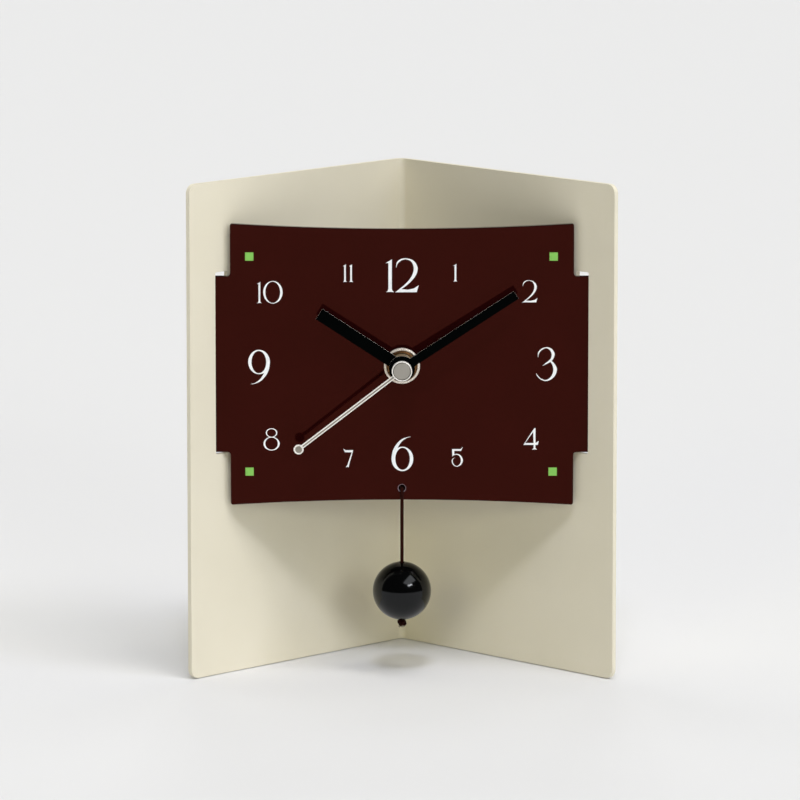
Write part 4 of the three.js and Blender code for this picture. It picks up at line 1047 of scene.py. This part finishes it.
class CLOCK_OT_cord(ClockOperator, bpy.types.Operator):
    """Makes the cord that comes out of the dial and holds the ball, and its two knots"""

    bl_idname = "clock.cord"
    bl_label = "Cord and knots"

    def execute(self, context):
        p = context.scene.clock_pendulum
        radius = p.cord / 2
        face = context.scene.clock_dial.face
        bend = face - p.hang
        through, around, down = 4, 6, 24  # stretches in the hole, round the bend and down to the knot
        route = [
            (0, p.back_end + (face - p.back_end) * i / through, p.hole - p.sag * i / through)
            for i in range(through)
        ]
        for i in range(around + 1):
            turn = math.pi / 2 * i / around
            route.append((0, face - bend * math.sin(turn), p.hole - p.sag - bend + bend * math.cos(turn)))
        low_bend = route[-1][2]
        route += [(0, p.hang, low_bend + (p.low_end - low_bend) * i / down) for i in range(1, down + 1)]

        rings_per_turn = 16  # of the strands
        fine = [route[0]]
        for a, b in zip(route, route[1:]):
            parts = max(1, round((Vector(b) - Vector(a)).length / (p.pitch / rings_per_turn)))
            fine += [tuple(Vector(a).lerp(Vector(b), i / parts)) for i in range(1, parts + 1)]
        bm = bmesh.new()
        tube(bm, fine, laid_section(radius, 24), 2 * math.pi / rings_per_turn)
        cord = add_piece(
            "cord_thread", to_mesh(bm, "cord_thread", 50), None, "cord", ("pendulum_cord", "cord_bight")
        )
        low_bend + 0.25 * bend
        low_bend - 0.6 * bend
        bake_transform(cord)

        lower = self.knot(p.knot, radius, Vector((0, p.hang, p.knot_height)), "Z")
        self.fray(lower, p, radius)
        lower_piece = add_piece(
            "lower_knot_thread", to_mesh(lower, "lower_knot_thread", 50), "pendulum", "cord", ("lower_knot",)
        )
        rear = self.knot(p.rear_knot, radius, Vector((0, p.rear_knot_y, p.hole)), "Y")
        rear_piece = add_piece(
            "rear_knot_thread", to_mesh(rear, "rear_knot_thread", 50), "cord bight", "cord", ("rear_knot",)
        )
        return {"FINISHED"}

    def knot(self, width, radius, middle, axis):
        """A tight overhand knot about an axis."""
        thread = radius * 0.86  # pulled thinner than the cord
        reach = (width / 2 - thread) / 3
        steps, twist = 96, 0.35
        points = []
        for i in range(steps + 1):
            t = 2 * math.pi * i / steps
            at = Vector((
                math.sin(t) + 2 * math.sin(2 * t), math.cos(t) - 2 * math.cos(2 * t), -1.5 * math.sin(3 * t)
            ))
            if axis == "Y":
                at = Vector((at.x, at.z, at.y))
            points.append(tuple(middle + reach * at))
        bm = bmesh.new()
        tube(bm, points, laid_section(thread, 18), twist)
        return bm

    def fray(self, bm, p, radius):
        """The frayed ends of the strands, hanging out of the knot."""
        chance = random.Random(7)
        fibre, steps = 0.07 * MM, 6
        for _ in range(p.fibres):
            turn = chance.uniform(0, 2 * math.pi)
            out = radius * math.sqrt(chance.random())
            splay = chance.uniform(0.2, 1.35) * radius
            end = p.fray_end + chance.uniform(0, 0.9) * MM
            start = p.knot_height
            points = []
            for i in range(steps + 1):
                t = i / steps
                reach = out + splay * t ** 1.6
                points.append((
                    reach * math.cos(turn + 0.5 * t), p.hang + reach * math.sin(turn + 0.5 * t),
                    start + (end - start) * t, 1 - 0.4 * t,
                ))
            tube(bm, points, round_section(fibre, 5))


class CLOCK_OT_stand(ClockOperator, bpy.types.Operator):
    """Makes the folded sheet stand with softly broken edges"""

    bl_idname = "clock.stand"
    bl_label = "Stand"

    def execute(self, context):
        softened("stand", "stand", "cream_paint", STAND_EDGE, 3)
        return {"FINISHED"}


class CLOCK_OT_dial(ClockOperator, bpy.types.Operator):
    """Makes the dial plate"""

    bl_idname = "clock.dial"
    bl_label = "Dial plate"

    def execute(self, context):
        softened("dial_plate", "stand", "dial_gloss", context.scene.clock_dial.edge, 3)
        return {"FINISHED"}


class CLOCK_OT_print(ClockOperator, bpy.types.Operator):
    """Prints the numerals and the corner squares on the dial"""

    bl_idname = "clock.print"
    bl_label = "Numerals and squares"

    def execute(self, context):
        dial = context.scene.clock_dial
        numerals = bmesh.new()
        thickness = 2 * dial.print_relief
        for digit, left, base, height, drawn_in in DIGITS:
            scale = Matrix.Diagonal((height * MM / 100 * NARROWING, height * MM / 100, 1, 1))
            inset = 100 * drawn_in / height
            for layer, area in enumerate(digit_outlines(digit, inset)):
                lift = dial.face - layer * LAYER
                placed = facing(left * MM, lift, dial.axis + base * MM) @ scale
                gather(numerals, flat_mesh(area, thickness), placed)
        add_piece("numerals", to_mesh(numerals, "numerals"), "stand", "dial_gloss", coat="white_ink")
        squares = bmesh.new()
        half = dial.square / 2
        corners = [(-half, -half), (half, -half), (half, half), (-half, half)]
        for x, z in SQUARES:
            gather(squares, flat_mesh([corners], thickness), facing(x * MM, dial.face, dial.axis + z * MM))
        mesh = to_mesh(squares, "corner_squares")
        add_piece("corner_squares", mesh, "stand", "dial_gloss", coat="green_ink")
        return {"FINISHED"}


class CLOCK_OT_fastening(ClockOperator, bpy.types.Operator):
    """Makes the washer and the flanged round nut in the middle of the dial"""

    bl_idname = "clock.fastening"
    bl_label = "Washer and nut"

    def execute(self, context):
        dial = context.scene.clock_dial
        bore, rim, body = dial.nut_bore / 2, dial.nut / 2, dial.nut_body / 2
        low, high = -dial.washer_back, dial.washer_thickness - dial.washer_back
        washer = lathe([(bore, low), (dial.washer / 2, low), (dial.washer / 2, high), (bore, high)])
        self.show(washer, "metal_washer", dial, WASHER_EDGE)
        back, front = -dial.nut_back, -dial.nut_front
        nut = lathe([
            (bore, front - dial.nut_dish_depth), (dial.nut_dish / 2, front), (rim - dial.nut_bevel, front),
            (rim, front - dial.nut_bevel), (rim, front - dial.nut_flange), (body, front - dial.nut_flange),
            (body, back), (bore, back),
        ])
        self.show(nut, "fixing_nut", dial, NUT_EDGE)
        return {"FINISHED"}

    def show(self, bm, name, dial, edge):
        """Puts a turned piece on the shaft's line in place of its solid."""
        bm.transform(facing(0, dial.face, dial.axis))
        shown = add_piece(name + "_fine", to_mesh(bm, name + "_fine"), "stand", "nickel", (name,))
        round_edges(shown, edge)


class CLOCK_OT_hands(ClockOperator, bpy.types.Operator):
    """Makes the three hands and the cap"""

    bl_idname = "clock.hands"
    bl_label = "Hands and cap"

    def execute(self, context):
        dial = context.scene.clock_dial
        h = context.scene.clock_hands
        for name, body, front, reach, width, hub, bore, turn, lean in (
            (
                "hour_hand", "hour hand", h.hour_front, h.hour_length, h.hour_width, h.hour_hub, h.hour_bore,
                h.hour_turn, h.hour_lean,
            ),
            (
                "minute_hand", "minute hand", h.minute_front, h.minute_length, h.minute_width, h.minute_hub,
                h.minute_bore, h.minute_turn, h.minute_lean,
            ),
        ):
            bm = self.bar(h, (width / 2, reach, hub / 2), bore / 2, h.rounding)
            inner, outer = bore / 2, bore / 2 + h.sheet
            low, high = -h.sheet - h.boss, -h.sheet / 2
            boss = lathe([(inner, low), (outer, low), (outer, high), (inner, high)], 64)
            gather(bm, to_mesh(boss, "boss"), Matrix.Identity(4))
            self.lean(bm, hub / 2, lean)
            self.show(bm, name, body, front, turn, dial, "hand_black", 40, name + "_black")
        self.second_hand(dial, h)
        self.cap(dial, h)
        return {"FINISHED"}

    def bar(self, h, outline, hole, rounding):
        """A new bmesh with a hand's flat sheet, bored for its shaft."""
        bm = bmesh.new()
        sheet = flat_mesh([self.bar_outline(*outline), ring(0, 0, hole, hole)], h.sheet, rounding)
        gather(bm, sheet, Matrix.Translation((0, 0, -h.sheet / 2)))
        return bm

    def bar_outline(self, half, reach, hub):
        """A bar that grows out of a round hub."""
        start = math.asin(half / hub)
        steps = 72
        outline = []
        for i in range(steps + 1):
            at = math.pi / 2 + start + (2 * math.pi - 2 * start) * i / steps
            outline.append((hub * math.cos(at), hub * math.sin(at)))
        return outline + [(half, reach), (-half, reach)]

    def lean(self, bm, start, slope):
        """Leans a hand towards the dial, from a distance above the shaft on."""
        bmesh.ops.bisect_plane(
            bm, geom=bm.verts[:] + bm.edges[:] + bm.faces[:], plane_co=(0, start, 0), plane_no=(0, 1, 0)
        )
        for corner in bm.verts:
            corner.co.z -= slope * max(0, corner.co.y - start)

    def show(self, bm, name, body, front, turn, dial, slot, sharp, coat):
        """Turns a hand to its time on the shaft, in place of its solid."""
        bmesh.ops.remove_doubles(bm, verts=bm.verts, dist=FINE_MERGE)
        bm.transform(Matrix.Translation((0, dial.face + front, dial.axis))
                     @ Matrix.Rotation(turn, 4, "Y") @ Matrix.Rotation(math.pi / 2, 4, "X"))
        add_piece(name + "_fine", to_mesh(bm, name + "_fine", sharp), body, slot, (name,), coat)

    def second_hand(self, dial, h):
        """A thin bar with rounded edges, a hub under the cap and a ringed disc at its tip."""
        hub = h.cap / 2 - h.cap_rim
        hole = h.socket / 2 + 0.05 * MM
        into_disc = h.second_length - 0.2 * h.second_tip
        bm = self.bar(h, (h.second_width / 2, into_disc, hub), hole, h.second_rounding)
        tip = h.second_tip / 2
        edge = [(tip - inwards * MM, -behind * MM) for inwards, behind in DISC_EDGE]
        middle = (0.3 * MM, edge[-1][1])
        disc = lathe([(0, -h.sheet), (tip - 0.1 * MM, -h.sheet), *edge, middle, (0, -0.08 * MM)], 48)
        gather(bm, to_mesh(disc, "disc"), Matrix.Translation((0, h.second_length, 0)))
        self.lean(bm, h.cap / 2, h.second_lean)
        turn = h.second_turn
        self.show(bm, "second_hand", "second hand", h.second_front, turn, dial, "silver", 25, "silver")

    def cap(self, dial, h):
        """A dished cap with a raised rim, and the socket behind it."""
        radius, front, back = h.cap / 2, -h.cap_front, -h.cap_back
        floor, lip = front - h.cap_dish, h.cap_rim / 2
        steps = 10
        arc = [math.pi * i / steps for i in range(steps + 1)]
        inside, sunk = radius - h.cap_rim, 0.1 * MM
        cap = lathe([
            (0, floor), (inside - h.cap_groove, floor), (inside - 0.06 * MM, floor - sunk),
            *((radius - lip - lip * math.cos(t), front - lip + lip * math.sin(t)) for t in arc),
            (radius, back), (h.socket / 2, back),
            (h.socket / 2, -h.socket_back), (h.shaft / 2, -h.socket_back), (h.shaft / 2, back), (0, back),
        ], 128)
        cap.transform(facing(0, dial.face, dial.axis))
        add_piece(
            "second_hand_cap_fine", to_mesh(cap, "second_hand_cap_fine", 25), "second hand", "silver",
            ("second_hand_cap",), "cap_silver",
        )


class CLOCK_OT_ball(ClockOperator, bpy.types.Operator):
    """Makes the bored glossy ball"""

    bl_idname = "clock.ball"
    bl_label = "Ball"

    def execute(self, context):
        p = context.scene.clock_pendulum
        radius, bore = p.ball / 2, p.bore / 2
        first = math.asin((bore + p.bore_rim) / radius)
        steps = 56
        profile = []
        for i in range(steps + 1):
            at = first + (math.pi - 2 * first) * i / steps
            profile.append((radius * math.sin(at), radius * math.cos(at)))
        rim = profile[0][1]
        profile += [
            (bore + 0.3 * p.bore_rim, -rim + 0.35 * p.bore_rim), (bore, -rim + p.bore_rim),
            (bore, rim - p.bore_rim), (bore + 0.3 * p.bore_rim, rim - 0.35 * p.bore_rim),
        ]
        bm = lathe(profile)
        bm.transform(Matrix.Translation((0, p.hang, p.ball_height)))
        add_piece("ball_fine", to_mesh(bm, "ball_fine", 60), "pendulum", "ball_gloss", ("ball",))
        return {"FINISHED"}


class CLOCK_OT_movement(ClockOperator, bpy.types.Operator):
    """Makes the movement's case, cover, setting knob and battery"""

    bl_idname = "clock.movement"
    bl_label = "Movement"

    def execute(self, context):
        m = context.scene.clock_movement
        softened("movement_case", "stand", "case_black", m.edge, coat="movement_case")
        softened("movement_cover", "stand", "case_black", COVER_EDGE)
        softened("setting_knob", "setting knob", "case_black", KNOB_EDGE)
        low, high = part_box("battery")
        middle = (low + high) / 2
        end, radius = m.battery_length / 2, m.battery / 2
        shoulder = end - m.nub_length
        nub_edge = 0.25 * MM
        battery = lathe([
            (0, -end), (radius - m.crimp, -end), (radius - 0.3 * m.crimp, -end + 0.2 * m.crimp),
            (radius, -end + 0.8 * m.crimp), (radius, shoulder - 0.8 * m.crimp),
            (radius - 0.3 * m.crimp, shoulder - 0.2 * m.crimp), (radius - m.crimp, shoulder),
            (radius - 1.8 * m.crimp, shoulder), (radius - 2 * m.crimp, shoulder - 0.3 * m.crimp),
            (m.nub / 2, shoulder - 0.3 * m.crimp), (m.nub / 2, end - nub_edge), (m.nub / 2 - nub_edge, end),
            (0, end),
        ])
        battery.transform(Matrix.Translation(middle) @ Matrix.Rotation(math.pi / 2, 4, "Y"))
        mesh = to_mesh(battery, "battery_fine", 40)
        add_piece("battery_fine", mesh, "battery", "battery_sleeve", ("battery",))
        return {"FINISHED"}


# The lamps: degrees to the right of the front, height and softness in degrees, strength and colour
LAMPS = (
    ("front", 0, 52, 10, 1, (0.81, 0.85, 1)),
    ("front_right", 40, 52, 20, 0.5, (1, 0.95, 0.83)),
    ("high_front", 10, 68, 25, 0.51, (0.95, 0.94, 1)),
    ("high_right", 45, 68, 25, 0.38, (1, 1, 1)),
    ("low_left", -20, 15, 16, 0.28, (1, 0.94, 0.5)),
    ("low_front", 20, 15, 14, 0.51, (0.96, 1, 0.95)),
    ("low_right", 60, 15, 20, 0.18, (1, 1, 1)),
    ("right", 60, 35, 25, 0.49, (0.77, 0.82, 1)),
    ("side_right", 100, 35, 16, 0.25, (1, 0.98, 0.8)),
    ("high_left", -120, 82, 35, 0.65, (1, 0.97, 0.82)),
    ("back_left", -140, 52, 20, 0.22, (1, 1, 1)),
    ("back", 180, 35, 16, 0.36, (1, 1, 1)),
    ("back_right", 140, 52, 20, 0.21, (1, 1, 1)),
)

# The mirrored panels: place, width and length in metres, and turn in degrees
PANELS = {
    "soft": ((0.88, -1.06, 1.33), 1.0, 1.5, -20),
    "spot": ((0.97, -1.35, 0.93), 0.36, 0.6, -30),
}


class CLOCK_OT_stage(ClockOperator, bpy.types.Operator):
    """Sets the floor, the surroundings, the lamps and the bright panels that the glossy pieces mirror"""

    bl_idname = "clock.stage"
    bl_label = "Stage"

    def execute(self, context):
        s = context.scene.clock_stage
        bm = bmesh.new()
        bmesh.ops.create_grid(bm, x_segments=1, y_segments=1, size=s.floor_size)
        bmesh.ops.translate(bm, verts=bm.verts, vec=(0, 0, -s.floor_gap))
        mesh = bpy.data.meshes.new("floor")
        bm.to_mesh(mesh)
        bm.free()
        floor = bpy.data.objects.new("floor", mesh)
        mesh.materials.append(bpy.data.materials[COAT + "floor"])
        context.scene.collection.objects.link(floor)
        for name, turn, height, softness, strength, tint in LAMPS:
            lamp = self.light(name, "SUN", self.direction(turn, height))
            lamp.data.energy = strength * s.lamps
            lamp.data.color = tint
            lamp.data.angle = math.radians(softness)
            lamp.visible_glossy = False
        self.panel("soft", s.soft_power)
        self.panel("spot", s.spot_power)
        world = bpy.data.worlds.new("surroundings")
        world.use_nodes = True
        sky = world.node_tree.nodes["Background"]
        sky.inputs["Color"].default_value = (1, 1, 1, 1)
        sky.inputs["Strength"].default_value = s.world
        context.scene.world = world
        context.scene.view_settings.view_transform = "Standard"
        return {"FINISHED"}

    def direction(self, turn, height):
        """The direction so many degrees to the right of the front and above the floor."""
        turn, height = math.radians(turn), math.radians(height)
        level = math.cos(height)
        return Vector((math.sin(turn) * level, -math.cos(turn) * level, math.sin(height)))

    def light(self, name, kind, towards):
        """A light that shines from a direction."""
        made = bpy.data.objects.new(name, bpy.data.lights.new(name, kind))
        made.location = towards
        made.rotation_euler = towards.to_track_quat("Z", "Y").to_euler()
        bpy.context.scene.collection.objects.link(made)
        return made

    def panel(self, name, watts):
        """A level bright panel that is only mirrored."""
        place, width, depth, turn = PANELS[name]
        made = self.light(name, "AREA", Vector((0, 0, 1)))
        made.location = place
        made.rotation_euler = (0, 0, math.radians(turn))
        made.data.shape = "RECTANGLE"
        made.data.size = width
        made.data.size_y = depth
        made.data.energy = watts
        made.visible_diffuse = False
        made.visible_camera = False


OPERATORS = (
    CLOCK_OT_camera, CLOCK_OT_materials, CLOCK_OT_cord, CLOCK_OT_stand, CLOCK_OT_dial, CLOCK_OT_print,
    CLOCK_OT_fastening, CLOCK_OT_hands, CLOCK_OT_ball, CLOCK_OT_movement, CLOCK_OT_stage,
)


class CLOCK_PT_panel(bpy.types.Panel):
    """The clock's pieces and sizes"""

    bl_label = "Desk clock"
    bl_idname = "CLOCK_PT_panel"
    bl_space_type = "VIEW_3D"
    bl_region_type = "UI"
    bl_category = "Clock"

    def draw(self, context):
        for operator in OPERATORS:
            self.layout.operator(operator.bl_idname)
        for attribute, group in GROUPS.items():
            box = self.layout.box()
            box.label(text=group.__doc__.strip(".\n"))
            values = getattr(context.scene, attribute)
            for key in group.__annotations__:
                box.prop(values, key)


def register():
    for cls in (*GROUPS.values(), *OPERATORS, CLOCK_PT_panel):
        bpy.utils.register_class(cls)
    for attribute, group in GROUPS.items():
        setattr(bpy.types.Scene, attribute, PointerProperty(type=group))


def unregister():
    for attribute in GROUPS:
        delattr(bpy.types.Scene, attribute)
    for cls in reversed((*GROUPS.values(), *OPERATORS, CLOCK_PT_panel)):
        bpy.utils.unregister_class(cls)


def main():
    register()
    for operator in OPERATORS:
        category, name = operator.bl_idname.split(".")
        getattr(getattr(bpy.ops, category), name)()


if __name__ == "__main__":
    main()
